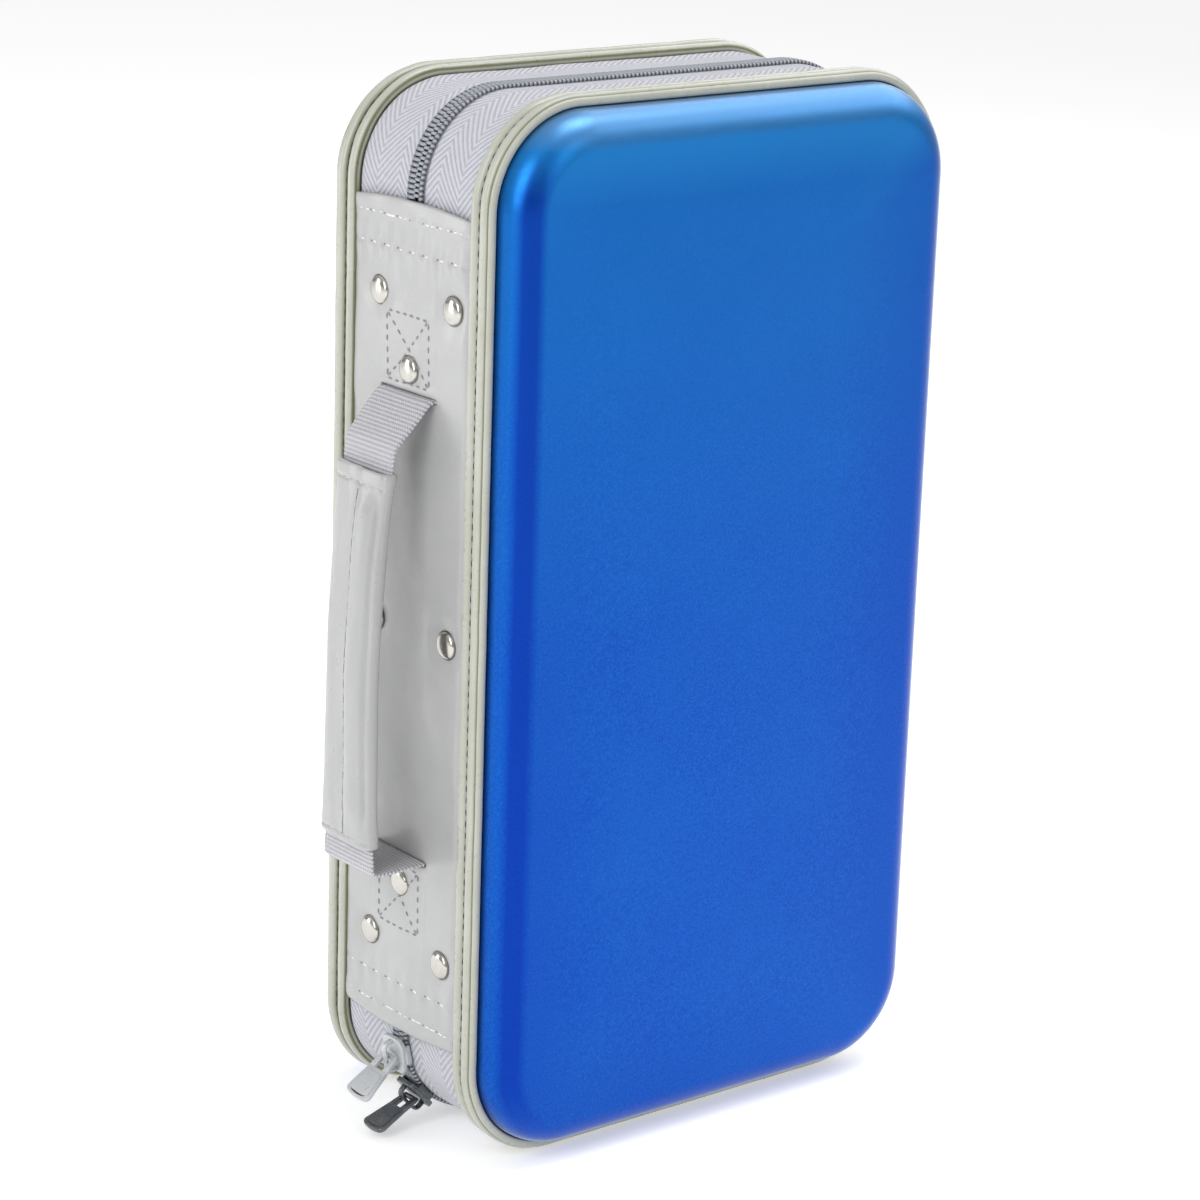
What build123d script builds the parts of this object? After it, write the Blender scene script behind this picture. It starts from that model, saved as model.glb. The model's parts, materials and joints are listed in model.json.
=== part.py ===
"""Zip-up disc wallet with two moulded shells, a riveted spine and a webbing carry handle.

Millimetres, +Z up, standing on its lower short edge. X runs from the spine (-X) to the opening
side (+X), Y from the front cover (-Y) to the back cover (+Y). The origin lies on the ground under
the middle of the whole envelope, handle included.

"inset" below is the distance measured inwards from the outline of the edge binding, and "depth"
is the distance from the middle plane Y = 0 towards either cover.
"""

from build123d import *
import math
import os

os.makedirs("parts", exist_ok=True)

# ---------------------------------------------------------------- driving dimensions
W, H, R = 161.0, 300.0, 30.0  # outline of the edge binding: width, height, corner radius
XC = 9.65  # X of the case's own middle plane
XS = XC - W / 2  # X of the outline on the spine side
ZM = H / 2  # mid height
XA = XS + R  # X where the spine-side corner arcs end

ZIP_SLIT = 0.6  # half of the gap between the two halves of the zip
TAPE_IN, TAPE_T, TAPE_D = 2.6, 1.0, 26.2  # gusset tape: inset of its face, thickness, depth
COIL_H, COIL_W = 1.5, 2.8  # half chain: height over the tape, width
PIPE_IN, PIPE_D, PIPE_R = 2.1, 28.2, 1.9  # piping cord: inset and depth of its axis, radius
BIND_D0, BIND_D1 = 30.2, 35.2  # edge binding: from depth, to depth
BIND_WEB, BIND_LEG, BIND_LIP = 1.0, 5.0, 3.0  # binding: web, inner leg, outer lip (insets)
FLANGE_D0, FLANGE_D1 = 31.4, 34.0  # shell flange held in the binding
DOME_IN, DOME_D, DOME_R = 3.2, 45.0, 9.5  # moulded shell: inset, depth of its face, edge radius
SHELL_T, LINING_T = 3.2, 0.7

PANEL_IN, PANEL_T = 1.2, 1.4  # spine cover: inset of its face, thickness
PANEL_Z0, PANEL_Z1, PANEL_Y = 32.0, 268.0, 26.0
BOARD_T, SPINE_LINING_T = 2.0, 0.6
STRIP_T, RIB_H = 1.4, 2.6  # strip that the leaves are sewn to, and the sewn roots on it
RIVET_YS, RIVET_Z = (-19.4, 14.0), (56.8, 150.0, 242.4)  # the rivets sit nearer the front cover
STRAP_RIVET_Z = (75.6, 222.6)
RIVET_HEAD_R, RIVET_HEAD_H, RIVET_SHANK_R, WASHER_T = 4.3, 2.2, 1.5, 0.7

SHEETS = 4  # folded sheets per strip, two leaves each
LEAF_Y0, LEAF_PITCH, LEAF_T = 5.3, 2.7, 0.8
LEAF_IN, LEAF_W, LEAF_H = 9.7, 136.0, 268.0

STRAP_W, STRAP_T = 22.0, 1.6
SLIT_Z = (84.2, 215.8)
STRAP_TAIL = 24.0  # length of strap sewn behind the spine cover
GRIP_Z0, GRIP_Z1 = 92.0, 198.0  # grip sleeve: ends
GRIP_ZB, GRIP_OUT, GRIP_TOP_OUT = 125.0, 17.5, 13.3  # it hangs straight up to ZB, then leans in to the spine
GRIP_W, GRIP_D, GRIP_WALL = 24.4, 6.0, 0.8

SLIDER_ANGLES = (192.5, 222.0)  # where the two sliders stand on the lower spine corner
PULL_DIRS = (218.0, 203.0)  # direction each pull points, in the XZ plane
PULL_TWISTS = (-12.0, 0.0)  # how far each hangs turned about its own length
SLIDER_L, SLIDER_W = 11.4, 9.4
PULL_AXIS_R = 32.0  # distance of the pull's pivot from the corner's centre
PULL_L, PULL_W, PULL_T = 15.4, 9.0, 1.5


def out_plane(depth, side):
    """Plane parallel to a cover at that depth, its normal pointing out. side is -1 front, +1 back."""
    return Plane(origin=(XC, side * depth, ZM), x_dir=(-side, 0, 0), z_dir=(0, side, 0))


def spine_plane(inset, y=0.0, z=0.0):
    """Plane parallel to the spine, its normal pointing out of the case."""
    return Plane(origin=(XS + inset, y, z), x_dir=(0, -1, 0), z_dir=(-1, 0, 0))


def slab(side, inset, depth0, depth1, edge_radius=0.0):
    """A plate with the case's outline, its outer face edge rounded on request."""
    with BuildPart() as plate:
        with BuildSketch(out_plane(depth0, side)):
            RectangleRounded(W - 2 * inset, H - 2 * inset, R - inset)
        extrude(amount=depth1 - depth0)
        if edge_radius:
            fillet(plate.faces().sort_by(Axis((0, 0, 0), (0, side, 0)))[-1].edges(), edge_radius)
    return plate.part


def ring(side, inset0, inset1, depth0, depth1):
    """A flat ring that follows the case's outline, between two insets and two depths."""
    with BuildPart() as hoop:
        with BuildSketch(out_plane(depth0, side)):
            RectangleRounded(W - 2 * inset0, H - 2 * inset0, R - inset0)
            RectangleRounded(W - 2 * inset1, H - 2 * inset1, R - inset1, mode=Mode.SUBTRACT)
        extrude(amount=depth1 - depth0)
    return hoop.part


def block(x0, x1, y0, y1, z0, z1, mode=Mode.ADD):
    with Locations(((x0 + x1) / 2, (y0 + y1) / 2, (z0 + z1) / 2)):
        Box(x1 - x0, y1 - y0, z1 - z0, mode=mode)


def save(part, name):
    part.label = name
    export_step(part, f"parts/{name}.step")


# ---------------------------------------------------------------- the two covers
leaf_y = [LEAF_Y0 + LEAF_PITCH * k for k in range(2 * SHEETS)]
LINING_IN = PANEL_IN + PANEL_T + BOARD_T
STRIP_IN = LINING_IN + SPINE_LINING_T

for side, cover in ((-1, "front"), (1, "back")):
    # moulded shell: a shallow tray with a rounded edge and a thin sewn flange
    with BuildPart() as shell:
        add(slab(side, DOME_IN, FLANGE_D0, DOME_D, DOME_R))
        add(ring(side, BIND_WEB + 0.05, DOME_IN + 1.0, FLANGE_D0 + 0.05, FLANGE_D1 - 0.05))
        add(slab(side, DOME_IN + SHELL_T, FLANGE_D0, DOME_D - SHELL_T, DOME_R - SHELL_T), mode=Mode.SUBTRACT)
    save(shell.part, f"{cover}_shell")

    # fabric lining glued into the tray
    with BuildPart() as lining:
        add(slab(side, DOME_IN + SHELL_T, FLANGE_D0, DOME_D - SHELL_T, DOME_R - SHELL_T))
        add(
            slab(side, DOME_IN + SHELL_T + LINING_T, FLANGE_D0, DOME_D - SHELL_T - LINING_T, DOME_R - SHELL_T - LINING_T),
            mode=Mode.SUBTRACT,
        )
    save(lining.part, f"{cover}_lining")

    # edge binding: a U section folded over the flange, rounded on its two outer edges
    with BuildPart() as binding:
        with BuildSketch(out_plane(BIND_D0, side)):
            RectangleRounded(W, H, R)
        extrude(amount=BIND_D1 - BIND_D0)
        fillet(binding.edges().filter_by(Plane.XZ), 1.4)
        add(slab(side, BIND_LEG, BIND_D0 - 1, BIND_D1 + 1), mode=Mode.SUBTRACT)
        add(ring(side, BIND_WEB, BIND_LEG + 1, FLANGE_D0, FLANGE_D1), mode=Mode.SUBTRACT)
        add(slab(side, BIND_LIP, FLANGE_D1, BIND_D1 + 1), mode=Mode.SUBTRACT)
    save(binding.part, f"{cover}_binding")

    # piping cord along the seam; its straight run at the spine is the cover's hinge line
    with BuildPart() as piping:
        with BuildLine(out_plane(PIPE_D, side)) as seam:
            hw, hh, hr = W / 2 - PIPE_IN, H / 2 - PIPE_IN, R - PIPE_IN
            Line((0, -hh), (hw - hr, -hh))
            RadiusArc((hw - hr, -hh), (hw, -hh + hr), -hr)
            Line((hw, -hh + hr), (hw, hh - hr))
            RadiusArc((hw, hh - hr), (hw - hr, hh), -hr)
            Line((hw - hr, hh), (-hw + hr, hh))
            RadiusArc((-hw + hr, hh), (-hw, hh - hr), -hr)
            Line((-hw, hh - hr), (-hw, -hh + hr))
            RadiusArc((-hw, -hh + hr), (-hw + hr, -hh), -hr)
            Line((-hw + hr, -hh), (0, -hh))
        with BuildSketch(Plane(origin=seam.line @ 0, z_dir=seam.line % 0)):
            Circle(PIPE_R)
        sweep(path=seam.wire())
    save(piping.part, f"{cover}_piping")

    # this cover's half of the zip gusset: tape with its sewn tongue, on three sides
    with BuildPart() as tape:
        add(ring(side, TAPE_IN, TAPE_IN + TAPE_T, ZIP_SLIT, TAPE_D))
        add(ring(side, TAPE_IN, TAPE_IN + 2.5, TAPE_D - 1.0, TAPE_D))
        add(ring(side, TAPE_IN + 1.5, TAPE_IN + 2.5, TAPE_D - 1.0, BIND_D0 - 0.05))
        block(XA + 0.4, XC + W, -60, 60, -10, H + 10, mode=Mode.INTERSECT)
    save(tape.part, f"{cover}_zip_tape")

    # this cover's half of the zip chain
    with BuildPart() as coil:
        add(ring(side, TAPE_IN - COIL_H, TAPE_IN, ZIP_SLIT, ZIP_SLIT + COIL_W))
        block(XA + 0.4, XC + W, -60, 60, -10, H + 10, mode=Mode.INTERSECT)
    save(coil.part, f"{cover}_zip_chain")

    # strip that holds this side's leaves, with the sewn leaf roots standing on it
    with BuildPart() as strip:
        with BuildSketch(spine_plane(STRIP_IN)):
            with Locations((-side * (leaf_y[0] + leaf_y[-1]) / 2, ZM)):
                RectangleRounded(leaf_y[-1] - leaf_y[0] + 1.8, 224.0, 0.8)
            with Locations(*[(-RIVET_YS[(side + 1) // 2], z) for z in RIVET_Z]):
                Circle(RIVET_SHANK_R + 0.1, mode=Mode.SUBTRACT)
        extrude(amount=-STRIP_T)
        with BuildSketch(spine_plane(STRIP_IN + STRIP_T)):
            with Locations(*[(-side * y, ZM) for y in leaf_y]):
                Rectangle(LEAF_T, 220.0)
            with Locations(*[(-RIVET_YS[(side + 1) // 2], z) for z in RIVET_Z]):
                Circle(4.4, mode=Mode.SUBTRACT)
        extrude(amount=-RIB_H)
    save(strip.part, f"{cover}_leaf_strip")

    # sleeve sheets: each folds into two leaves with room for two discs above one another
    for k in range(SHEETS):
        with BuildPart() as sheet:
            for y in leaf_y[2 * k : 2 * k + 2]:
                with BuildSketch(Plane.XZ.offset(-side * y - LEAF_T / 2)):
                    with Locations((XS + LEAF_IN + LEAF_W / 2, ZM)):
                        RectangleRounded(LEAF_W, LEAF_H, 7.0)
                extrude(amount=LEAF_T)
        save(sheet.part, f"{cover}_sleeve_sheet_{k + 1}")

# ---------------------------------------------------------------- spine
# outer cover: one sheet, with two slits for the strap and holes for the rivets
rivet_spots = [(y, z) for z in RIVET_Z for y in RIVET_YS]
rivet_holes = [(-y, z) for y, z in rivet_spots]  # in the spine planes, whose own X is -Y
strap_spots = [(0, z) for z in STRAP_RIVET_Z]
with BuildPart() as spine_cover:
    with BuildSketch(spine_plane(PANEL_IN)):
        with Locations((0, (PANEL_Z0 + PANEL_Z1) / 2)):
            RectangleRounded(2 * PANEL_Y, PANEL_Z1 - PANEL_Z0, 1.0)
        with Locations(*rivet_holes, *strap_spots):
            Circle(RIVET_SHANK_R + 0.1, mode=Mode.SUBTRACT)
        with Locations(*[(0, z) for z in SLIT_Z]):
            Rectangle(STRAP_W + 1.0, STRAP_T + 0.6, mode=Mode.SUBTRACT)
    extrude(amount=-PANEL_T)
save(spine_cover.part, "spine_cover")

# stiffener board, with windows where the strap ends lie
with BuildPart() as spine_board:
    with BuildSketch(spine_plane(PANEL_IN + PANEL_T)):
        with Locations((0, ZM)):
            RectangleRounded(49.0, 204.0, 3.0)
        with Locations(*rivet_holes):
            Circle(RIVET_SHANK_R + 0.1, mode=Mode.SUBTRACT)
        with Locations((0, SLIT_Z[0] - STRAP_TAIL / 2 + 1), (0, SLIT_Z[1] + STRAP_TAIL / 2 - 1)):
            Rectangle(STRAP_W + 1.0, STRAP_TAIL + 5, mode=Mode.SUBTRACT)
    extrude(amount=-BOARD_T)
save(spine_board.part, "spine_board")

with BuildPart() as spine_lining:
    with BuildSketch(spine_plane(LINING_IN)):
        with Locations((0, ZM)):
            RectangleRounded(50.4, 232.0, 1.0)
        with Locations(*rivet_holes, *strap_spots):
            Circle(RIVET_SHANK_R + 0.1, mode=Mode.SUBTRACT)
    extrude(amount=-SPINE_LINING_T)
save(spine_lining.part, "spine_lining")


def rivet(length):
    """Domed rivet, head up, its shank reaching down by length to a flattened tail."""
    with BuildPart() as pin:
        Cylinder(RIVET_HEAD_R, RIVET_HEAD_H, align=(Align.CENTER, Align.CENTER, Align.MIN))
        fillet(pin.faces().sort_by(Axis.Z)[-1].edges(), RIVET_HEAD_H - 0.3)
        with Locations((0, 0, 0.1)):
            Cylinder(RIVET_SHANK_R, length + 0.1, align=(Align.CENTER, Align.CENTER, Align.MAX))
        with Locations((0, 0, -length)):
            Cylinder(2.3, 0.5, align=(Align.CENTER, Align.CENTER, Align.MIN))
    return pin.part


rivet_long = rivet(STRIP_IN + STRIP_T + WASHER_T + 0.5 - PANEL_IN)
rivet_short = rivet(LINING_IN + SPINE_LINING_T + WASHER_T + 0.5 - PANEL_IN)
with BuildPart() as spine_rivets:
    for y, z in rivet_spots:
        add(spine_plane(PANEL_IN, y, z).location * rivet_long)
save(spine_rivets.part, "spine_rivets")
with BuildPart() as strap_rivets:
    for y, z in strap_spots:
        add(spine_plane(PANEL_IN, y, z).location * rivet_short)
save(strap_rivets.part, "strap_rivets")
with BuildPart() as washers:
    with BuildSketch(spine_plane(STRIP_IN + STRIP_T)):
        with Locations(*rivet_holes):
            Circle(3.6)
        with Locations(*rivet_holes):
            Circle(RIVET_SHANK_R + 0.1, mode=Mode.SUBTRACT)
    extrude(amount=-WASHER_T)
    with BuildSketch(spine_plane(LINING_IN + SPINE_LINING_T)):
        with Locations(*strap_spots):
            Circle(3.6)
        with Locations(*strap_spots):
            Circle(RIVET_SHANK_R + 0.1, mode=Mode.SUBTRACT)
    extrude(amount=-WASHER_T)
save(washers.part, "rivet_washers")

# zip tape and chain round the two spine-side corners, where they are sewn under the spine cover
for name, z0, z1, c0, c1 in (
    ("lower", -5.0, 46.0, -5.0, PANEL_Z0 - 0.3),
    ("upper", H - 46.0, H + 5.0, PANEL_Z1 + 0.3, H + 5.0),
):
    with BuildPart() as corner_tape:
        for side in (-1, 1):
            add(ring(side, TAPE_IN, TAPE_IN + TAPE_T, ZIP_SLIT, PANEL_Y))
        block(XS - 5, XA, -60, 60, z0, z1, mode=Mode.INTERSECT)
    save(corner_tape.part, f"{name}_corner_tape")
    with BuildPart() as corner_chain:
        for side in (-1, 1):
            add(ring(side, TAPE_IN - COIL_H, TAPE_IN, ZIP_SLIT, ZIP_SLIT + COIL_W))
        block(XS - 5, XA, -60, 60, c0, c1, mode=Mode.INTERSECT)
    save(corner_chain.part, f"{name}_corner_chain")

# ---------------------------------------------------------------- carry handle
XP = XS + PANEL_IN  # X of the spine cover's outer face
TAIL = PANEL_T + STRAP_T / 2  # the strap's ends lie against the inside of the spine cover
for name, z_slit, way, path in (
    ("upper", SLIT_Z[1], 1, [(1.2, SLIT_Z[1]), (12.6, 204.0), (GRIP_TOP_OUT, GRIP_Z1 + 0.05)]),
    ("lower", SLIT_Z[0], -1, [(GRIP_OUT, SLIT_Z[0]), (GRIP_OUT, GRIP_Z0 - 0.05)]),
):
    points = [(-TAIL, z_slit + way * STRAP_TAIL), (-TAIL, z_slit)] + path
    radii = [1.0, 2.0, 4.5] if way > 0 else [1.0, 3.0]
    with BuildPart() as leg:
        with BuildLine(Plane.XZ) as run:
            corners = [(XP - out, z) for out, z in points]
            here = corners[0]
            for i, bend in enumerate(radii):
                a, b, c = corners[i], corners[i + 1], corners[i + 2]
                ua = ((b[0] - a[0]) / math.dist(a, b), (b[1] - a[1]) / math.dist(a, b))
                uc = ((c[0] - b[0]) / math.dist(b, c), (c[1] - b[1]) / math.dist(b, c))
                turn = math.acos(ua[0] * uc[0] + ua[1] * uc[1])
                cut = bend * math.tan(turn / 2)
                p, q = (b[0] - ua[0] * cut, b[1] - ua[1] * cut), (b[0] + uc[0] * cut, b[1] + uc[1] * cut)
                Line(here, p)
                TangentArc(p, q, tangent=ua)
                here = q
            Line(here, corners[-1])
        with BuildSketch(Plane(origin=run.line @ 0, x_dir=(0, 1, 0), z_dir=run.line % 0)):
            Rectangle(STRAP_W, STRAP_T)
        sweep(path=run.wire())
        with Locations(Location((XS + 8, 0, STRAP_RIVET_Z[1] if way > 0 else STRAP_RIVET_Z[0]), (0, 90, 0))):
            Cylinder(RIVET_SHANK_R + 0.1, 16, mode=Mode.SUBTRACT)
    save(leg.part, f"strap_{name}_leg")

GRIP_R = ((GRIP_OUT - GRIP_TOP_OUT) ** 2 + (GRIP_Z1 - GRIP_ZB) ** 2) / (2 * (GRIP_OUT - GRIP_TOP_OUT))


def grip_solid(outer, inner, trim):
    """A section swept up the grip's middle line, its ends cut back by trim. outer and inner are (y, x, corner radius)."""
    x0, z1 = XP - GRIP_OUT, GRIP_Z1 - trim
    with BuildPart() as piece:
        with BuildLine(Plane.XZ) as run:
            Line((x0, GRIP_Z0 + trim), (x0, GRIP_ZB))
            TangentArc((x0, GRIP_ZB), (x0 + GRIP_R - math.sqrt(GRIP_R**2 - (z1 - GRIP_ZB) ** 2), z1), tangent=(0, 1))
        with BuildSketch(Plane(origin=run.line @ 0, x_dir=(0, 1, 0), z_dir=run.line % 0)):
            RectangleRounded(*outer) if outer[2] else Rectangle(*outer[:2])
            if inner:
                RectangleRounded(*inner, mode=Mode.SUBTRACT) if inner[2] else Rectangle(*inner[:2], mode=Mode.SUBTRACT)
        sweep(path=run.wire())
    return piece.part


save(grip_solid((STRAP_W, STRAP_T, 0), None, 0.0), "grip_strap")
save(
    grip_solid((GRIP_W, GRIP_D, 2.7), (GRIP_W - 2 * GRIP_WALL, GRIP_D - 2 * GRIP_WALL, 2.7 - GRIP_WALL), 0.0),
    "grip_sleeve",
)
save(
    grip_solid((GRIP_W - 2 * GRIP_WALL - 0.1, GRIP_D - 2 * GRIP_WALL - 0.1, 1.85), (GRIP_W, STRAP_T + 0.1, 0), 3.0),
    "grip_padding",
)

# ---------------------------------------------------------------- zip sliders and pulls
# slider, drawn with X along the zip, Y across it and Z measured from the corner's centre
with BuildPart() as slider:
    with BuildSketch(Plane.XY.offset(29.2)):
        RectangleRounded(SLIDER_L, SLIDER_W, 2.4)
    extrude(amount=1.5)
    fillet(slider.faces().sort_by(Axis.Z)[-1].edges(), 0.5)
    for v in (-1, 1):
        with Locations((0, v * (SLIDER_W / 2 - 0.5), 28.5)):
            Box(SLIDER_L - 5.2, 1.0, 1.6)
    with BuildSketch(Plane.XY.offset(24.5)):
        RectangleRounded(10.4, 8.0, 2.4)
    extrude(amount=1.1)
    with Locations((0, 0, 27.4)):
        Box(3.0, 0.8, 3.8)
    with BuildSketch(Plane.XZ.offset(-0.9)):
        with BuildLine():
            Polyline((-4.7, 30.5), (-4.7, 32.2))
            TangentArc((-4.7, 32.2), (-2.7, 34.2), tangent=(0, 1))
            Line((-2.7, 34.2), (2.7, 34.2))
            TangentArc((2.7, 34.2), (4.7, 32.2), tangent=(1, 0))
            Polyline((4.7, 32.2), (4.7, 30.5), (-4.7, 30.5))
        make_face()
        with Locations((0, 32.0)):
            RectangleRounded(6.4, 2.3, 1.0, mode=Mode.SUBTRACT)
        with Locations((0, 31.2)):
            Rectangle(6.4, 0.95, mode=Mode.SUBTRACT)
    extrude(amount=1.8)
# pull, drawn with X away from its pivot
with BuildPart() as pull:
    with Locations(Location((0, 0, 0), (90, 0, 0))):
        Cylinder(PULL_T / 2, 5.6)
    with BuildSketch(Plane.XY.offset(-PULL_T / 2)):
        with Locations((3.0, 0)):
            Rectangle(6.0, 5.6)
        with Locations(((5.4 + PULL_L) / 2, 0)):
            RectangleRounded(PULL_L - 5.4, PULL_W, 2.6)
        with Locations((2.4, 0)):
            Rectangle(6.0, 2.6, mode=Mode.SUBTRACT)
    extrude(amount=PULL_T)
    with BuildSketch(Plane.XY.offset(PULL_T / 2)):
        with Locations(((8.2 + PULL_L - 2.4) / 2, 0)):
            RectangleRounded(PULL_L - 2.4 - 8.2, PULL_W - 3.0, 1.6)
    extrude(amount=-0.3, mode=Mode.SUBTRACT)

for n, (at, way, twist) in enumerate(zip(SLIDER_ANGLES, PULL_DIRS, PULL_TWISTS), start=1):
    c, s = math.cos(math.radians(at)), math.sin(math.radians(at))
    stand = Plane(origin=(XA, 0, R), x_dir=(s, 0, -c), z_dir=(c, 0, s))
    save(stand.location * slider.part, f"zip_slider_{n}")
    d, e = math.cos(math.radians(way)), math.sin(math.radians(way))
    pivot = (XA + PULL_AXIS_R * c, 0, R + PULL_AXIS_R * s)
    g, h = math.cos(math.radians(twist)), math.sin(math.radians(twist))
    hang = Plane(origin=pivot, x_dir=(d, 0, e), z_dir=(-e * g, -h, d * g))
    save(hang.location * pull.part, f"zip_pull_{n}")
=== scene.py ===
"""Looks of the zip-up disc wallet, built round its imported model. Metres in Blender, millimetres in the numbers here."""

import json
import math
import random

import bmesh
import bpy
import numpy as np
from mathutils import Matrix, Vector

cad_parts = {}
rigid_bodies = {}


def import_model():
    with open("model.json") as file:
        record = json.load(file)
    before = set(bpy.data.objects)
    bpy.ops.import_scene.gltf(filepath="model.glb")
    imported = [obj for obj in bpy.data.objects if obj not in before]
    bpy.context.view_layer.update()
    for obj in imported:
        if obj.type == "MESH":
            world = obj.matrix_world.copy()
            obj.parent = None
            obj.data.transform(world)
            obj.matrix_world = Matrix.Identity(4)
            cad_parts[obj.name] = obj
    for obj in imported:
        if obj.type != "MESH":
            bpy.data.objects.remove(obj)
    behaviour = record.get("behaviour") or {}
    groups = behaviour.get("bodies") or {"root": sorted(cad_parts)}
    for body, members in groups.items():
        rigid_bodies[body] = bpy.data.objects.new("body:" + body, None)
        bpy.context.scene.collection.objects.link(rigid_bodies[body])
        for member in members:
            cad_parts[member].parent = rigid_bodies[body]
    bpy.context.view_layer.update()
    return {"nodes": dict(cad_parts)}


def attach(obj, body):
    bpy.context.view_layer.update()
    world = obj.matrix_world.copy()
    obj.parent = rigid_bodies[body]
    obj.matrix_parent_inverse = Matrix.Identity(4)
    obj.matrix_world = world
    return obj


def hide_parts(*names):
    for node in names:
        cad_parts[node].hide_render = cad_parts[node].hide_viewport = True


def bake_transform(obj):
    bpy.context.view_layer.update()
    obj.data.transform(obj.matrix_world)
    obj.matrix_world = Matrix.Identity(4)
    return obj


random.seed(7)
RNG = np.random.default_rng(7)

for old in list(bpy.data.objects):
    bpy.data.objects.remove(old, do_unlink=True)

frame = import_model()

# ------------------------------------------------------------------ dimensions, as in the CAD
MM = 0.001
W, H, R = 161.0, 300.0, 30.0
XC, ZM = 9.65, 150.0
XS = XC - W / 2
XA = XS + R
XP = XS + 1.2
RIVET_YS, RIVET_Z = (-19.4, 14.0), (56.8, 150.0, 242.4)
STRAP_RIVET_Z = (75.6, 222.6)
SLIT_Z = (84.2, 215.8)
PANEL_Z0, PANEL_Z1 = 32.0, 268.0
GRIP_Z0, GRIP_Z1 = 92.0, 198.0
GRIP_ZB, GRIP_OUT, GRIP_TOP_OUT = 125.0, 17.5, 13.3


def grip_out(z):
    """How far the grip's middle stands out from the spine cover at height z."""
    r = ((GRIP_OUT - GRIP_TOP_OUT) ** 2 + (GRIP_Z1 - GRIP_ZB) ** 2) / (2 * (GRIP_OUT - GRIP_TOP_OUT))
    return GRIP_OUT - (r - math.sqrt(r * r - max(0.0, z - GRIP_ZB) ** 2))


# ------------------------------------------------------------------ mesh helpers
class Rim:
    """The case's outline at one inset, walked from mid height on the spine side, down and round to there again."""

    def __init__(self, inset):
        self.hw, self.hh, self.r = W / 2 - inset, H / 2 - inset, R - inset
        hw, hh, r = self.hw, self.hh, self.r
        arc = math.pi * r / 2
        seg = [hh - r, arc, 2 * (hw - r), arc, 2 * (hh - r), arc, 2 * (hw - r), arc, hh - r]
        self.cum = np.concatenate([[0.0], np.cumsum(seg)])
        self.length = float(self.cum[-1])
        self.turn = np.radians([180, 180, 270, 270, 360, 360, 450, 450, 540])
        self.start = np.array([(-hw, 0), (-hw + r, -hh + r), (-hw + r, -hh), (hw - r, -hh + r), (hw, -hh + r),
                               (hw - r, hh - r), (hw - r, hh), (-hw + r, hh - r), (-hw, hh - r)], float)

    def at(self, s):
        """(x, z) in the row frame, and the outward normal, at walks s."""
        s = np.asarray(s, float)
        i = np.clip(np.searchsorted(self.cum, s, side="right") - 1, 0, 8)
        t = s - self.cum[i]
        arc = i % 2 == 1
        a = self.turn[i] + np.where(arc, t / self.r, 0.0)
        n = np.stack([np.cos(a), np.sin(a)], -1)
        g = np.stack([-n[..., 1], n[..., 0]], -1)
        p = self.start[i] + np.where(arc[..., None], self.r * n, g * t[..., None])
        return p + np.array([XC, ZM]), n

    def stations(self, step, arc_steps, s0=0.0, s1=None):
        """Walk values, closer together round the corners."""
        s1 = self.length if s1 is None else s1
        out = [s0]
        for k in range(9):
            a, b = self.cum[k], self.cum[k + 1]
            n = arc_steps if k % 2 else max(1, int(round((b - a) / step)))
            out += [v for v in np.linspace(a, b, n + 1) if s0 + 1e-6 < v < s1 - 1e-6]
        out.append(s1)
        return np.array(sorted(set(round(float(v), 6) for v in out)))


def wave(s, length, seed, low, high):
    """Smooth noise that repeats over length, built from waves with low to high periods in it. About -1 to 1."""
    r = np.random.default_rng(seed)
    ks = r.integers(low, high + 1, 10)
    ph = r.uniform(0, 2 * math.pi, 10)
    am = r.uniform(0.5, 1.0, 10)
    s = np.asarray(s, float)
    return sum(a * np.sin(2 * math.pi * k * s / length + p) for k, p, a in zip(ks, ph, am)) / am.sum() * 1.8


def wave2(a, b, seed, low, high, n=14):
    """Smooth noise over two coordinates in mm, with wavelengths from low to high mm. About -1 to 1."""
    r = np.random.default_rng(seed)
    total = 0.0
    norm = 0.0
    for _ in range(n):
        wl = math.exp(r.uniform(math.log(low), math.log(high)))
        th, ph, am = r.uniform(0, math.pi), r.uniform(0, 2 * math.pi), r.uniform(0.4, 1.0)
        total = total + am * np.sin(2 * math.pi * (a * math.cos(th) + b * math.sin(th)) / wl + ph)
        norm += am
    return total / norm * 1.9


def make(name, verts, faces, material, path=None, smooth=True):
    """A mesh object from vertices in mm. path is a vector per vertex that materials can read."""
    mesh = bpy.data.meshes.new(name)
    mesh.from_pydata((np.asarray(verts, float) * MM).tolist(), [], [tuple(int(i) for i in f) for f in faces])
    if path is not None:
        att = mesh.attributes.new("path", "FLOAT_VECTOR", "POINT")
        att.data.foreach_set("vector", np.asarray(path, np.float32).ravel())
    for m in material if isinstance(material, (list, tuple)) else [material]:
        mesh.materials.append(m)
    if smooth:
        mesh.polygons.foreach_set("use_smooth", [True] * len(mesh.polygons))
    mesh.validate()
    mesh.update()
    obj = bpy.data.objects.new(name, mesh)
    bpy.context.scene.collection.objects.link(obj)
    return obj


def outward(obj):
    bm = bmesh.new()
    bm.from_mesh(obj.data)
    bmesh.ops.recalc_face_normals(bm, faces=bm.faces)
    bm.to_mesh(obj.data)
    bm.free()
    return obj


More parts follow.
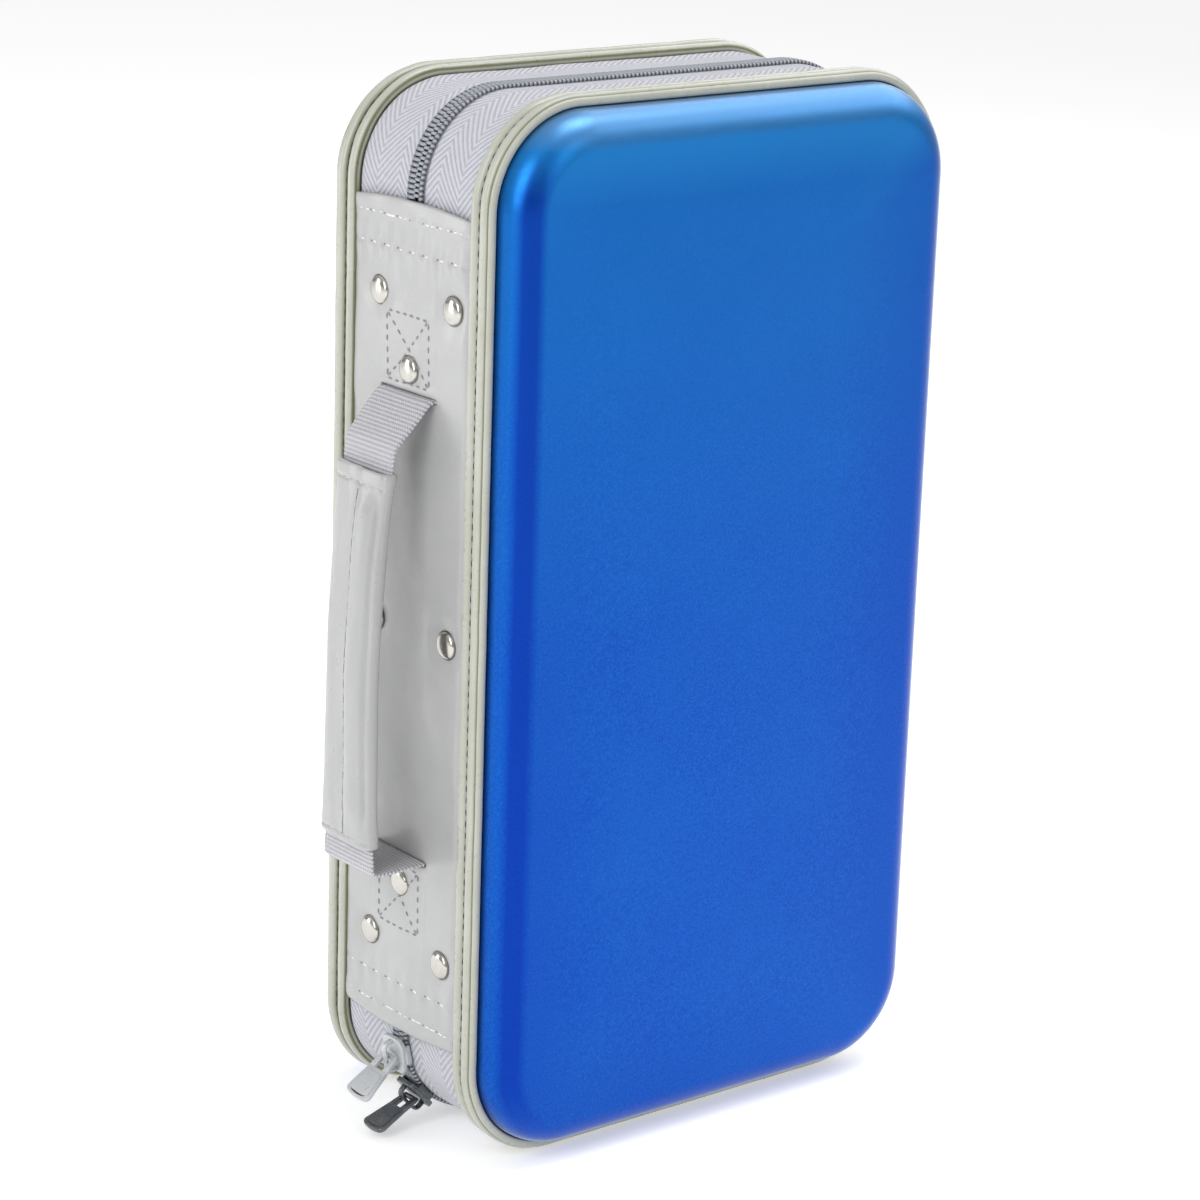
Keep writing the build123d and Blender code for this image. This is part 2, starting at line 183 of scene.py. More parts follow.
def grid_faces(n, m, wrap_n=False, wrap_m=False):
    """Quads over an n by m grid of vertices, row by row."""
    i = np.arange(n if wrap_n else n - 1)
    j = np.arange(m if wrap_m else m - 1)
    ii, jj = np.meshgrid(i, j, indexing="ij")
    a = ii * m + jj
    b = ((ii + 1) % n) * m + jj
    c = ((ii + 1) % n) * m + (jj + 1) % m
    d = ii * m + (jj + 1) % m
    return np.stack([a, b, c, d], -1).reshape(-1, 4)


def sweep(name, side, profile, material, s=None, ref=0.0, closed=True, ring=False, shift=None, crease=None):
    """Sweeps a profile of (inset, depth) round the case. closed joins the walk's ends, ring joins the profile's."""
    rim = Rim(ref)
    if s is None:
        s = rim.stations(4.0, 22)[:-1]
    p, n = rim.at(s)
    prof = np.array(profile, float)
    ins = np.broadcast_to(prof[:, 0][None], (len(s), len(prof))).copy()
    dep = np.broadcast_to(prof[:, 1][None], (len(s), len(prof))).copy()
    if shift is not None:
        di, dd = shift(s[:, None], np.arange(len(prof))[None])
        ins, dep = ins + di, dep + dd
    xz = p[:, None, :] + n[:, None, :] * (ref - ins)[..., None]
    verts = np.stack([xz[..., 0], side * dep, xz[..., 1]], -1).reshape(-1, 3)
    v = np.concatenate([[0.0], np.cumsum(np.hypot(*np.diff(prof, axis=0).T))])
    path = np.stack([np.broadcast_to(s[:, None], ins.shape), np.broadcast_to(v[None], ins.shape), np.broadcast_to(np.array(crease if crease is not None else np.zeros(len(prof)), float)[None], ins.shape)], -1)
    obj = make(name, verts, grid_faces(len(s), len(prof), closed, ring), material, path.reshape(-1, 3))
    return outward(obj)


def scatter(name, template, faces, origins, frames, material):
    """Copies of one small shape: template points (mm), origins (mm) and 3x3 frames whose rows are its x, y, z."""
    t = np.asarray(template, float)
    o = np.asarray(origins, float)
    f = np.asarray(frames, float)
    verts = o[:, None, :] + np.einsum("tk,nkj->ntj", t, f)
    fs = np.asarray(faces)
    allf = (np.arange(len(o))[:, None, None] * len(t) + fs[None]).reshape(-1, fs.shape[1])
    return make(name, verts.reshape(-1, 3), allf, material)


def bead(nu, nv, power=2.0):
    """A rounded pill, unit half axes: x along, y across, z up. Returns points and quads."""
    pts = []
    for i in range(nu):
        a = -math.pi / 2 + math.pi * (i + 0.5) / nu
        x = math.copysign(abs(math.sin(a)) ** (2.0 / power), math.sin(a))
        rad = math.cos(a) ** (2.0 / power)
        for j in range(nv):
            b = 2 * math.pi * j / nv
            pts.append((x, rad * math.cos(b), rad * math.sin(b)))
    return np.array(pts), grid_faces(nu, nv, False, True)


STITCH_PTS, STITCH_FACES = bead(6, 6, 2.6)


def stitches(name, pts0, pts1, up, radius, material, dive=0.0):
    """Thread lying from each point to its partner. up is the surface's normal there."""
    a, b, u = np.asarray(pts0, float), np.asarray(pts1, float), np.asarray(up, float)
    d = b - a
    half = np.linalg.norm(d, axis=1, keepdims=True) / 2
    x = d / (2 * half)
    y = np.cross(u, x)
    y /= np.linalg.norm(y, axis=1, keepdims=True)
    z = np.cross(x, y)
    t = STITCH_PTS * np.array([1, radius, radius])
    t[:, 2] -= dive * STITCH_PTS[:, 0] ** 2
    o = (a + b) / 2
    verts = o[:, None] + t[None, :, :1] * half[:, None] * x[:, None] + t[None, :, 1:2] * y[:, None] + t[None, :, 2:] * z[:, None]
    allf = (np.arange(len(a))[:, None, None] * len(t) + STITCH_FACES[None]).reshape(-1, 4)
    return make(name, verts.reshape(-1, 3), allf, material)


def join(name, objs):
    """Joins meshes into the first one."""
    verts, faces, mats, base = [], [], [], 0
    index = []
    path = []
    for o in objs:
        me = o.data
        co = np.zeros(len(me.vertices) * 3)
        me.vertices.foreach_get("co", co)
        verts.append(co.reshape(-1, 3) / MM)
        slots = []
        for m in me.materials:
            if m not in mats:
                mats.append(m)
            slots.append(mats.index(m))
        for p in me.polygons:
            faces.append([base + v for v in p.vertices])
            index.append(slots[p.material_index])
        pa = np.zeros(len(me.vertices) * 3, np.float32)
        if "path" in me.attributes:
            me.attributes["path"].data.foreach_get("vector", pa)
        path.append(pa.reshape(-1, 3))
        base += len(me.vertices)
        bpy.data.objects.remove(o, do_unlink=True)
    obj = make(name, np.concatenate(verts), faces, mats, np.concatenate(path))
    obj.data.polygons.foreach_set("material_index", index)
    obj.data.update()
    return obj


# ------------------------------------------------------------------ materials
class Mat:
    """A procedural material, built a step at a time."""

    def __init__(self, name, color, rough, metallic=0.0, coat=0.0, coat_rough=0.1, spec=0.5, sheen=0.0, coords="Object"):
        self.m = bpy.data.materials.new(name)
        self.m.use_nodes = True
        self.t = self.m.node_tree
        self.b = self.t.nodes["Principled BSDF"]
        self.color, self.rough = color, rough
        self.set("Base Color", (*color, 1))
        self.set("Roughness", rough)
        self.set("Metallic", metallic)
        self.set("Coat Weight", coat)
        self.set("Coat Roughness", coat_rough)
        self.set("Specular IOR Level", spec)
        self.set("Sheen Weight", sheen)
        if coords == "path":
            a = self.t.nodes.new("ShaderNodeAttribute")
            a.attribute_name = "path"
            self.co = a.outputs["Vector"]
        else:
            c = self.t.nodes.new("ShaderNodeTexCoord")
            scale = self.t.nodes.new("ShaderNodeVectorMath")
            scale.operation = "SCALE"
            scale.inputs["Scale"].default_value = 1000.0  # the textures below are in mm
            self.t.links.new(c.outputs["Object"], scale.inputs[0])
            self.co = scale.outputs[0]
        self.normal = None
        m_color = self.t.nodes.new("ShaderNodeRGB")
        m_color.outputs[0].default_value = (*color, 1)
        self.c_out = None

    def set(self, socket, value):
        if socket in self.b.inputs:
            self.b.inputs[socket].default_value = value

    def link(self, a, b):
        self.t.links.new(a, b)

    def noise(self, size, detail=4.0, rough=0.55, stretch=None):
        """Noise with features of about size mm."""
        src = self.co
        if stretch is not None:
            v = self.t.nodes.new("ShaderNodeVectorMath")
            v.operation = "MULTIPLY"
            v.inputs[1].default_value = stretch
            self.link(src, v.inputs[0])
            src = v.outputs[0]
        n = self.t.nodes.new("ShaderNodeTexNoise")
        n.inputs["Scale"].default_value = 1.0 / size
        n.inputs["Detail"].default_value = detail
        n.inputs["Roughness"].default_value = rough
        self.link(src, n.inputs["Vector"])
        return n.outputs["Fac"]

    def cells(self, size, feature="F1"):
        n = self.t.nodes.new("ShaderNodeTexVoronoi")
        n.feature = feature
        n.inputs["Scale"].default_value = 1.0 / size
        self.link(self.co, n.inputs["Vector"])
        return n.outputs["Distance"]

    def ramp(self, src, lo, hi, a=0.0, b=1.0):
        n = self.t.nodes.new("ShaderNodeMapRange")
        n.inputs["From Min"].default_value = lo
        n.inputs["From Max"].default_value = hi
        n.inputs["To Min"].default_value = a
        n.inputs["To Max"].default_value = b
        self.link(src, n.inputs["Value"])
        return n.outputs["Result"]

    def math(self, op, a, b=None, c=None):
        n = self.t.nodes.new("ShaderNodeMath")
        n.operation = op
        for k, v in enumerate((a, b, c)):
            if v is None:
                continue
            if isinstance(v, (int, float)):
                n.inputs[k].default_value = v
            else:
                self.link(v, n.inputs[k])
        return n.outputs[0]

    def along(self):
        """The path attribute's three values."""
        a = self.t.nodes.new("ShaderNodeAttribute")
        a.attribute_name = "path"
        n = self.t.nodes.new("ShaderNodeSeparateXYZ")
        self.link(a.outputs["Vector"], n.inputs[0])
        return n.outputs

    def split(self):
        n = self.t.nodes.new("ShaderNodeSeparateXYZ")
        self.link(self.co, n.inputs[0])
        return n.outputs

    def tint(self, fac, color):
        """Mixes color in by fac."""
        n = self.t.nodes.new("ShaderNodeMix")
        n.data_type = "RGBA"
        self.link(fac, n.inputs[0])
        if self.c_out is None:
            n.inputs[6].default_value = (*self.color, 1)
        else:
            self.link(self.c_out, n.inputs[6])
        n.inputs[7].default_value = (*color, 1)
        self.c_out = n.outputs[2]
        self.link(self.c_out, self.b.inputs["Base Color"])
        return self

    def roughness(self, fac, lo, hi):
        self.link(self.ramp(fac, 0.3, 0.7, lo, hi), self.b.inputs["Roughness"])
        return self

    def bump(self, height, depth_mm, strength=1.0):
        n = self.t.nodes.new("ShaderNodeBump")
        n.inputs["Strength"].default_value = strength
        n.inputs["Distance"].default_value = depth_mm * MM
        self.link(height, n.inputs["Height"])
        if self.normal is not None:
            self.link(self.normal, n.inputs["Normal"])
        self.normal = n.outputs["Normal"]
        self.link(self.normal, self.b.inputs["Normal"])
        return self


def shell_material():
    m = Mat("shell_blue", (0.002, 0.074, 0.435), 0.38, metallic=0.80, coat=0.08, coat_rough=0.30, spec=0.10, sheen=1.0)
    m.set("Sheen Roughness", 0.26)
    m.set("Sheen Tint", (0.80, 0.92, 1.0, 1))
    grain = m.noise(0.55, 3.0, 0.7)
    m.tint(m.ramp(grain, 0.45, 0.70, 0.0, 0.55), (0.012, 0.165, 0.62))
    m.tint(m.ramp(m.noise(0.9, 2.0, 0.6), 0.32, 0.55, 0.42, 0.0), (0.001, 0.036, 0.29))
    m.tint(m.ramp(m.noise(46.0, 2.0, 0.5), 0.38, 0.68, 0.0, 0.22), (0.004, 0.118, 0.47))
    height = m.split()[2]
    # painted light from above: the face grows lighter and more cyan towards the top
    m.tint(m.ramp(height, 150.0, 290.0, 0.0, 0.72), (0.006, 0.160, 0.50))
    m.tint(m.ramp(height, 272.0, 289.0, 0.0, 0.50), (0.02, 0.27, 0.66))
    m.tint(m.ramp(height, 287.0, 294.0, 0.0, 0.66), (0.15, 0.32, 0.54))  # painted highlight, pale whitish blue along the top rounding
    # painted dark reflection: darker blue where the sheet turns down at the sides
    way_x, inset, way_z = m.along()
    sides = m.math("MULTIPLY", m.ramp(way_z, 0.25, 0.80, 1.0, 0.0), m.ramp(way_z, -0.9, -0.2, 0.30, 1.0))
    turn = m.math("MULTIPLY", m.ramp(inset, 4.6, 6.4, 0.0, 1.0), m.ramp(inset, 10.0, 12.6, 1.0, 0.0))
    m.tint(m.math("MULTIPLY", m.math("MULTIPLY", turn, sides), m.ramp(way_x, 0.0, 0.6, 0.80, 0.36)), (0.000, 0.030, 0.350))
    # painted dark reflection, weaker and wider, reaching onto the face beside the sides, lower down and on the right
    low = m.math("MAXIMUM", m.ramp(way_x, 0.0, 0.5, 0.0, 1.0), m.ramp(height, 100.0, 220.0, 1.0, 0.0))
    m.tint(m.math("MULTIPLY", m.math("MULTIPLY", m.ramp(inset, 12.0, 46.0, 0.34, 0.0), m.math("MULTIPLY", sides, low)), m.ramp(inset, 6.0, 12.0, 0.0, 1.0)), (0.000, 0.042, 0.38))
    m.roughness(m.noise(1.4, 3.0), 0.31, 0.41)
    m.bump(grain, 0.020, 0.8)
    m.bump(m.noise(24.0, 2.0, 0.4), 0.20, 0.4)
    return m.m


def vinyl_material(name, color, fleck, rough=0.40):
    m = Mat(name, color, rough, spec=0.5, coat=0.55, coat_rough=0.22)
    m.tint(m.ramp(m.noise(30.0, 3.0, 0.5), 0.38, 0.68, 0.0, 0.6), fleck)
    m.tint(m.ramp(m.noise(1.1, 3.0, 0.6), 0.45, 0.8, 0.0, 0.22), tuple(min(0.9, c * 1.2) for c in color))
    m.roughness(m.noise(5.0, 4.0), rough - 0.08, rough + 0.09)
    m.bump(m.cells(0.8), 0.03, 0.5)
    m.bump(m.noise(0.4, 3.0), 0.025, 0.5)
    m.bump(m.noise(7.0, 3.0, 0.5), 0.30, 0.35)
    return m.m


def edging_material():
    """Silvery vinyl with an olive cast, and painted shade that darkens it to dark olive in the creases and seams."""
    m = Mat("edging_vinyl", (0.43, 0.44, 0.375), 0.30, coat=0.45, coat_rough=0.14)
    m.tint(m.ramp(m.noise(18.0, 3.0, 0.5), 0.4, 0.7, 0.0, 0.5), (0.52, 0.53, 0.48))
    m.tint(m.ramp(m.noise(2.2, 4.0, 0.6), 0.5, 0.8, 0.0, 0.35), (0.38, 0.40, 0.26))
    # painted shade in the creases, read from the crease value swept with each profile
    m.tint(m.ramp(m.along()[2], 0.05, 0.85, 0.0, 0.92), (0.11, 0.12, 0.035))
    m.roughness(m.noise(3.0, 4.0), 0.24, 0.38)
    m.bump(m.cells(0.6), 0.02, 0.5)
    m.bump(m.noise(4.0, 3.0, 0.5), 0.22, 0.5)
    return m.m


def tape_material():
    """Herringbone twill: wide bands of slanted ribs, with painted shade making its edge dark by the chain and dark
    olive by the piping.
    """
    m = Mat("gusset_twill", (0.60, 0.605, 0.66), 0.74, sheen=0.25, spec=0.3, coords="path")
    s, v, _ = m.split()
    zig = m.math("MULTIPLY", m.math("PINGPONG", m.math("ADD", v, 1.5), 9.6), 1.15)
    rib = m.math("SINE", m.math("MULTIPLY", m.math("ADD", s, zig), 2 * math.pi / 2.35))
    yarn = m.math("SINE", m.math("MULTIPLY", v, 2 * math.pi / 0.6))
    m.tint(m.ramp(rib, -1.0, 0.2, 0.60, 0.0), (0.23, 0.235, 0.29))
    m.tint(m.ramp(m.noise(1.6, 3.0), 0.45, 0.75, 0.0, 0.35), (0.67, 0.67, 0.72))
    # painted shade where the tape lies under the chain
    m.tint(m.ramp(v, 2.9, 3.5, 0.9, 0.0), (0.13, 0.135, 0.15))
    # painted shade where the tape goes into the seam by the piping
    m.tint(m.ramp(v, 24.7, 25.1, 0.0, 1.0), (0.045, 0.05, 0.012))
    m.bump(m.math("ADD", rib, m.math("MULTIPLY", yarn, 0.2)), 0.24, 0.9)
    m.bump(m.noise(0.25, 3.0), 0.05, 0.5)
    return m.m


def webbing_material():
    m = Mat("handle_webbing", (0.60, 0.595, 0.63), 0.80, sheen=0.3, spec=0.3, coords="path")
    s, v, _ = m.split()
    warp = m.math("SINE", m.math("MULTIPLY", v, 2 * math.pi / 0.95))
    weft = m.math("SINE", m.math("ADD", m.math("MULTIPLY", s, 2 * math.pi / 1.2), m.math("MULTIPLY", m.math("SIGN", warp), 0.80)))
    m.tint(m.ramp(weft, -1.0, 0.0, 0.85, 0.0), (0.27, 0.265, 0.30))
    m.tint(m.ramp(warp, -1.0, -0.3, 0.35, 0.0), (0.36, 0.355, 0.40))
    m.tint(m.ramp(m.noise(0.7, 3.0), 0.5, 0.8, 0.0, 0.5), (0.76, 0.755, 0.78))
    m.bump(m.math("ADD", m.math("MULTIPLY", warp, 0.6), weft), 0.14, 0.8)
    m.bump(m.noise(0.22, 3.0), 0.05, 0.6)
    return m.m


def chain_material():
    """Nylon turns, with painted shade: light on top, and dark at their outer ends and in the gaps."""
    m = Mat("chain_nylon", (0.34, 0.36, 0.40), 0.46, spec=0.4)
    s, v, w = m.along()
    cord = m.ramp(m.math("ABSOLUTE", s), 0.0, 0.01, 0.0, 1.0)
    turns = m.math("SINE", m.math("MULTIPLY", s, 2 * math.pi / 1.42))
    m.tint(m.ramp(m.noise(0.6, 3.0), 0.45, 0.75, 0.0, 0.4), (0.36, 0.375, 0.40))
    # painted shade at the turns' outer ends, where they meet the tape
    m.tint(m.math("MULTIPLY", m.ramp(v, 1.9, 2.5, 0.0, 0.80), m.math("SUBTRACT", 1.0, cord)), (0.09, 0.095, 0.115))
    # painted shade on the turns' low sides
    m.tint(m.math("MULTIPLY", m.ramp(w, -0.1, 0.35, 0.80, 0.0), m.math("SUBTRACT", 1.0, cord)), (0.075, 0.08, 0.095))
    m.tint(m.math("MULTIPLY", cord, 0.75), (0.42, 0.44, 0.49))
    # painted shade in the gaps between turns along the cord
    m.tint(m.math("MULTIPLY", m.ramp(turns, -0.55, 0.25, 0.92, 0.0), cord), (0.06, 0.065, 0.08))
    m.bump(m.math("MULTIPLY", turns, cord), 0.22, 0.8)
    m.bump(m.noise(0.3, 3.0), 0.03, 0.6)
    return m.m


def thread_material(name, color):
    m = Mat(name, color, 0.7, spec=0.3)
    m.tint(m.ramp(m.noise(0.5, 2.0), 0.4, 0.7, 0.0, 0.5), tuple(c * 0.5 for c in color))
    m.bump(m.noise(0.18, 2.0), 0.04, 0.7)
    return m.m


def metal_material(name, color, rough, wear, metallic=1.0):
    m = Mat(name, color, rough, metallic=metallic)
    m.tint(m.ramp(m.noise(2.2, 5.0, 0.65), 0.5, 0.8, 0.0, 0.55), wear)
    m.roughness(m.noise(1.3, 5.0, 0.6, stretch=(1.0, 1.0, 0.25)), rough * 0.7, rough * 1.6)
    m.bump(m.noise(0.5, 4.0), 0.01, 0.5)
    return m.m


def plain_material(name, color, rough, grain, depth, fleck, spec=0.4):
    m = Mat(name, color, rough, spec=spec)
    m.tint(m.ramp(m.noise(grain * 6, 3.0), 0.4, 0.7, 0.0, 0.4), fleck)
    m.roughness(m.noise(grain * 3, 3.0), rough * 0.85, min(1.0, rough * 1.15))
    m.bump(m.noise(grain, 3.0), depth, 0.6)
    return m.m


def lining_material():
    m = Mat("lining_cloth", (0.035, 0.036, 0.042), 0.85, sheen=0.4, spec=0.2)
    x, y, z = m.split()
    a = m.math("SINE", m.math("MULTIPLY", m.math("ADD", x, z), 2 * math.pi / 0.9))
    b = m.math("SINE", m.math("MULTIPLY", m.math("SUBTRACT", x, z), 2 * math.pi / 0.9))
    m.tint(m.ramp(m.math("MULTIPLY", a, b), -0.2, 0.6, 0.0, 0.5), (0.075, 0.077, 0.088))
    m.tint(m.ramp(m.noise(14.0, 3.0), 0.4, 0.7, 0.0, 0.4), (0.05, 0.05, 0.058))
    m.bump(m.math("MULTIPLY", a, b), 0.08, 0.7)
    return m.m


SHELL = shell_material()
VINYL = vinyl_material("spine_vinyl", (0.425, 0.427, 0.427), (0.365, 0.367, 0.369))
GRIP = vinyl_material("grip_vinyl", (0.40, 0.402, 0.402), (0.345, 0.347, 0.349), 0.34)
EDGING = edging_material()
TAPE = tape_material()
WEB = webbing_material()
LINING = lining_material()
THREAD_DARK = thread_material("thread_dark", (0.05, 0.05, 0.042))
THREAD_GREY = thread_material("thread_grey", (0.30, 0.30, 0.305))
THREAD_PALE = thread_material("thread_pale", (0.88, 0.88, 0.87))
THREAD_SOFT = thread_material("thread_soft", (0.50, 0.50, 0.495))
SEAM = plain_material("seam_olive", (0.075, 0.082, 0.018), 0.6, 0.8, 0.05, (0.13, 0.14, 0.04))
CHAIN = chain_material()
NICKEL = metal_material("nickel", (0.56, 0.545, 0.50), 0.15, (0.40, 0.385, 0.34))
# painted shade: dark nickel for the rivet heads' rims, giving the dark outline and crescent of shade round each head
NICKEL_RIM_SHADE = metal_material("nickel_rim_shade", (0.20, 0.19, 0.165), 0.30, (0.10, 0.095, 0.08))
SILVER = metal_material("slider_silver", (0.55, 0.57, 0.585), 0.32, (0.44, 0.455, 0.47), metallic=0.45)
GUNMETAL = metal_material("slider_gunmetal", (0.12, 0.13, 0.14), 0.28, (0.26, 0.27, 0.28), metallic=0.8)
STEEL = metal_material("washer_steel", (0.55, 0.55, 0.54), 0.35, (0.40, 0.38, 0.35))
BOARD = plain_material("board_plastic", (0.10, 0.10, 0.105), 0.55, 0.5, 0.03, (0.14, 0.14, 0.145))
STRIP = plain_material("strip_plastic", (0.03, 0.03, 0.032), 0.5, 0.6, 0.05, (0.06, 0.06, 0.062))
FOAM = plain_material("grip_foam", (0.06, 0.06, 0.062), 0.9, 0.35, 0.12, (0.11, 0.11, 0.112))
CLOTH = plain_material("sleeve_cloth", (0.72, 0.73, 0.75), 0.85, 0.5, 0.10, (0.62, 0.63, 0.66), 0.3)
FILM = plain_material("sleeve_film", (0.66, 0.70, 0.76), 0.16, 9.0, 0.5, (0.60, 0.65, 0.72), 0.6)

# ------------------------------------------------------------------ covers
TAPE_REF = 2.6
TAPE_RIM = Rim(TAPE_REF)
TAPE_S0 = 112.0  # the gusset tape starts and ends behind the spine cover
TAPE_S1 = TAPE_RIM.length - 112.0
LEN0 = Rim(0).length


def cover(side, name):
    body = f"{name}_cover"
    seed = 11 if side < 0 else 29

    # moulded shell with a softly crowned face
    rim = Rim(0)
    s = rim.stations(4.0, 26)[:-1]
    prof = [(1.4, 34.0), (2.6, 34.05), (3.3, 34.15), (3.45, 34.6), (3.5, 35.4)]
    c_in, c_de, rad = 3.5, 35.4, 9.6
    for k in range(1, 17):
        a = math.pi / 2 * k / 16
        prof.append((c_in + rad * (1 - math.cos(a)), c_de + rad * math.sin(a)))
    p, n = rim.at(s)
    rows, deps = [], []
    for i, d in prof:
        rows.append(p - n * i)
        deps.append(np.full(len(s), d))
    base = p - n * 13.1
    mid = base - np.array([XC, ZM])
    medial = np.stack([np.zeros(len(s)), np.clip(mid[:, 1], -(H - W) / 2, (H - W) / 2)], -1) + np.array([XC, ZM])
    for t in (0.03, 0.07, 0.13, 0.2, 0.3, 0.42, 0.56, 0.7, 0.85, 1.0):
        rows.append(base * (1 - t) + medial * t)
        deps.append(np.full(len(s), 45.0 + 0.75 * (1 - (1 - t) ** 2.2)))
    xz, dep = np.array(rows), np.array(deps)
    dep = dep + np.clip((np.arange(len(dep)) - 6) / 12, 0, 1)[:, None] * 0.10 * wave2(xz[..., 0], xz[..., 1], seed, 30, 120)
    verts = np.stack([xz[..., 0], side * dep, xz[..., 1]], -1).reshape(-1, 3)
    inset = [i for i, d in prof] + [13.1 + 67.0 * t for t in (0.03, 0.07, 0.13, 0.2, 0.3, 0.42, 0.56, 0.7, 0.85, 1.0)]
    facing = np.stack([np.broadcast_to(n[None, :, 0], xz.shape[:2]), np.broadcast_to(np.array(inset)[:, None], xz.shape[:2]), np.broadcast_to(n[None, :, 1], xz.shape[:2])], -1)
    shell = make(f"{name}_shell_skin", verts, grid_faces(len(rows), len(s), False, True), SHELL, facing.reshape(-1, 3))
    bm = bmesh.new()
    bm.from_mesh(shell.data)
    bmesh.ops.remove_doubles(bm, verts=bm.verts, dist=0.00002)
    bmesh.ops.recalc_face_normals(bm, faces=bm.faces)
    bm.to_mesh(shell.data)
    bm.free()
    if sum(f.normal.y * f.area for f in shell.data.polygons) * side < 0:
        shell.data.flip_normals()
    shell.data.polygons.foreach_set("use_smooth", [True] * len(shell.data.polygons))
    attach(shell, body)
    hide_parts(f"{name}_shell")

    # lining inside the tray
    rows, deps = [], []
    prof = [(5.1, 31.35), (6.2, 31.3), (7.0, 31.6), (7.15, 32.4), (7.2, 35.6)]
    for k in range(1, 9):
        a = math.pi / 2 * k / 8
        prof.append((7.2 + 5.5 * (1 - math.cos(a)), 35.6 + 5.5 * math.sin(a)))
    for i, d in prof:
        rows.append(p - n * i)
        deps.append(np.full(len(s), d))
    base = p - n * 12.7
    for t in (0.05, 0.12, 0.2, 0.3, 0.42, 0.56, 0.7, 0.85, 1.0):
        rows.append(base * (1 - t) + medial * t)
        deps.append(np.full(len(s), 41.1))
    xz, dep = np.array(rows), np.array(deps)
    dep = dep + np.clip((np.arange(len(dep)) - 4) / 8, 0, 1)[:, None] * 0.22 * wave2(xz[..., 0], xz[..., 1], seed + 3, 14, 90)
    verts = np.stack([xz[..., 0], side * dep, xz[..., 1]], -1).reshape(-1, 3)
    lining = make(f"{name}_lining_cloth", verts, grid_faces(len(rows), len(s), False, True), LINING)
    bm = bmesh.new()
    bm.from_mesh(lining.data)
    bmesh.ops.remove_doubles(bm, verts=bm.verts, dist=0.00002)
    bmesh.ops.recalc_face_normals(bm, faces=bm.faces)
    bm.to_mesh(lining.data)
    bm.free()
    if sum(f.normal.y * f.area for f in lining.data.polygons) * side > 0:
        lining.data.flip_normals()
    lining.data.polygons.foreach_set("use_smooth", [True] * len(lining.data.polygons))
    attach(lining, body)
    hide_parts(f"{name}_lining")

    # edge binding, puffed between its stitching and its lip
    prof = [(5.0, 31.3), (5.0, 30.5), (4.6, 30.35), (3.0, 30.3), (2.0, 30.4), (1.25, 30.62), (0.68, 30.92), (0.28, 31.32), (0.06, 31.85),
            (0.0, 32.4), (0.05, 33.0), (0.22, 33.5), (0.5, 33.82), (0.82, 33.95), (0.98, 34.05), (0.92, 34.25), (0.85, 34.5),
            (0.98, 34.85), (1.35, 35.1), (1.9, 35.2), (2.6, 35.18), (3.0, 35.0), (3.12, 34.6), (3.12, 34.05)]
    s = rim.stations(2.4, 26)[:-1]

    def soft(ss, j):
        d = 0.13 * wave(ss, LEN0, seed + 1, 20, 90) * np.exp(-(((j - 9) / 4.5) ** 2))
        return -np.clip(d, -0.2, 0.0) * 1.0, 0.10 * wave(ss + 40, LEN0, seed + 2, 12, 60) * np.exp(-(((j - 16) / 5.0) ** 2))

    # painted shade for each profile point: how far the binding darkens to olive in its creases
    seam_shade = [1, 1, 1, 1, 1, 0.75, 0.25, 0.03, 0, 0, 0, 0, 0.12, 0.55, 0.9, 0.45, 0.05, 0, 0, 0, 0, 0.2, 0.7, 1]
    bind = sweep(f"{name}_binding_tape", side, prof, EDGING, s=s, closed=True, shift=soft, crease=seam_shade)
    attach(bind, body)
    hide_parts(f"{name}_binding")

    # piping cord under its vinyl, with the seam allowance behind it
    turn = np.linspace(0, 2 * math.pi, 41)[:-1]
    prof = [(2.12 + 1.86 * math.cos(a), 28.12 + 1.86 * math.sin(a)) for a in turn]
    # painted shade round the piping, darkest on its inner side
    seam_shade = np.clip((0.5 + 0.5 * np.cos(turn) - 0.55) / 0.40, 0, 1)
    seam_shade = np.maximum(seam_shade, np.clip(1.25 - np.abs(np.degrees(turn) - 249.0) / 17.0, 0, 1))  # painted shade, also where it meets the spine cover

    def knobbly(ss, j):
        a = 2 * math.pi * j / 40
        d = 0.10 * wave(ss, LEN0, seed + 5, 30, 140)
        return -np.abs(d) * 0.0 + d * np.cos(a) * 0.8, d * np.sin(a) * 0.8

    pipe = sweep(f"{name}_piping_cord", side, prof, EDGING, s=rim.stations(2.2, 26)[:-1], closed=True, ring=True, shift=knobbly, crease=seam_shade)
    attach(pipe, body)
    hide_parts(f"{name}_piping")
    allowance = sweep(f"{name}_seam_allowance", side, [(2.4, 29.2), (1.75, 29.9), (1.72, 30.4), (3.2, 30.55), (4.2, 30.2), (3.4, 29.4)], SEAM,
                      s=rim.stations(6.0, 20)[:-1], closed=True, ring=True)
    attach(allowance, body)

    # stitching that sinks into the seam between piping and binding
    pitch = 3.35
    count = int(LEN0 // pitch)
    s0 = np.arange(count) * LEN0 / count + RNG.uniform(-0.12, 0.12, count)
    s1 = s0 + pitch * 0.74 + RNG.uniform(-0.15, 0.15, count)
    p0, n0 = rim.at(s0 % LEN0)
    p1, n1 = rim.at(s1 % LEN0)
    h = 1.30
    a = np.stack([p0[:, 0] - n0[:, 0] * h, np.full(count, side * 30.12), p0[:, 1] - n0[:, 1] * h], -1)
    b = np.stack([p1[:, 0] - n1[:, 0] * h, np.full(count, side * 30.16), p1[:, 1] - n1[:, 1] * h], -1)
    up = np.stack([n0[:, 0], np.zeros(count), n0[:, 1]], -1)
    thread = stitches(f"{name}_seam_stitching", a, b, up, 0.42, THREAD_DARK, dive=0.3)
    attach(thread, body)

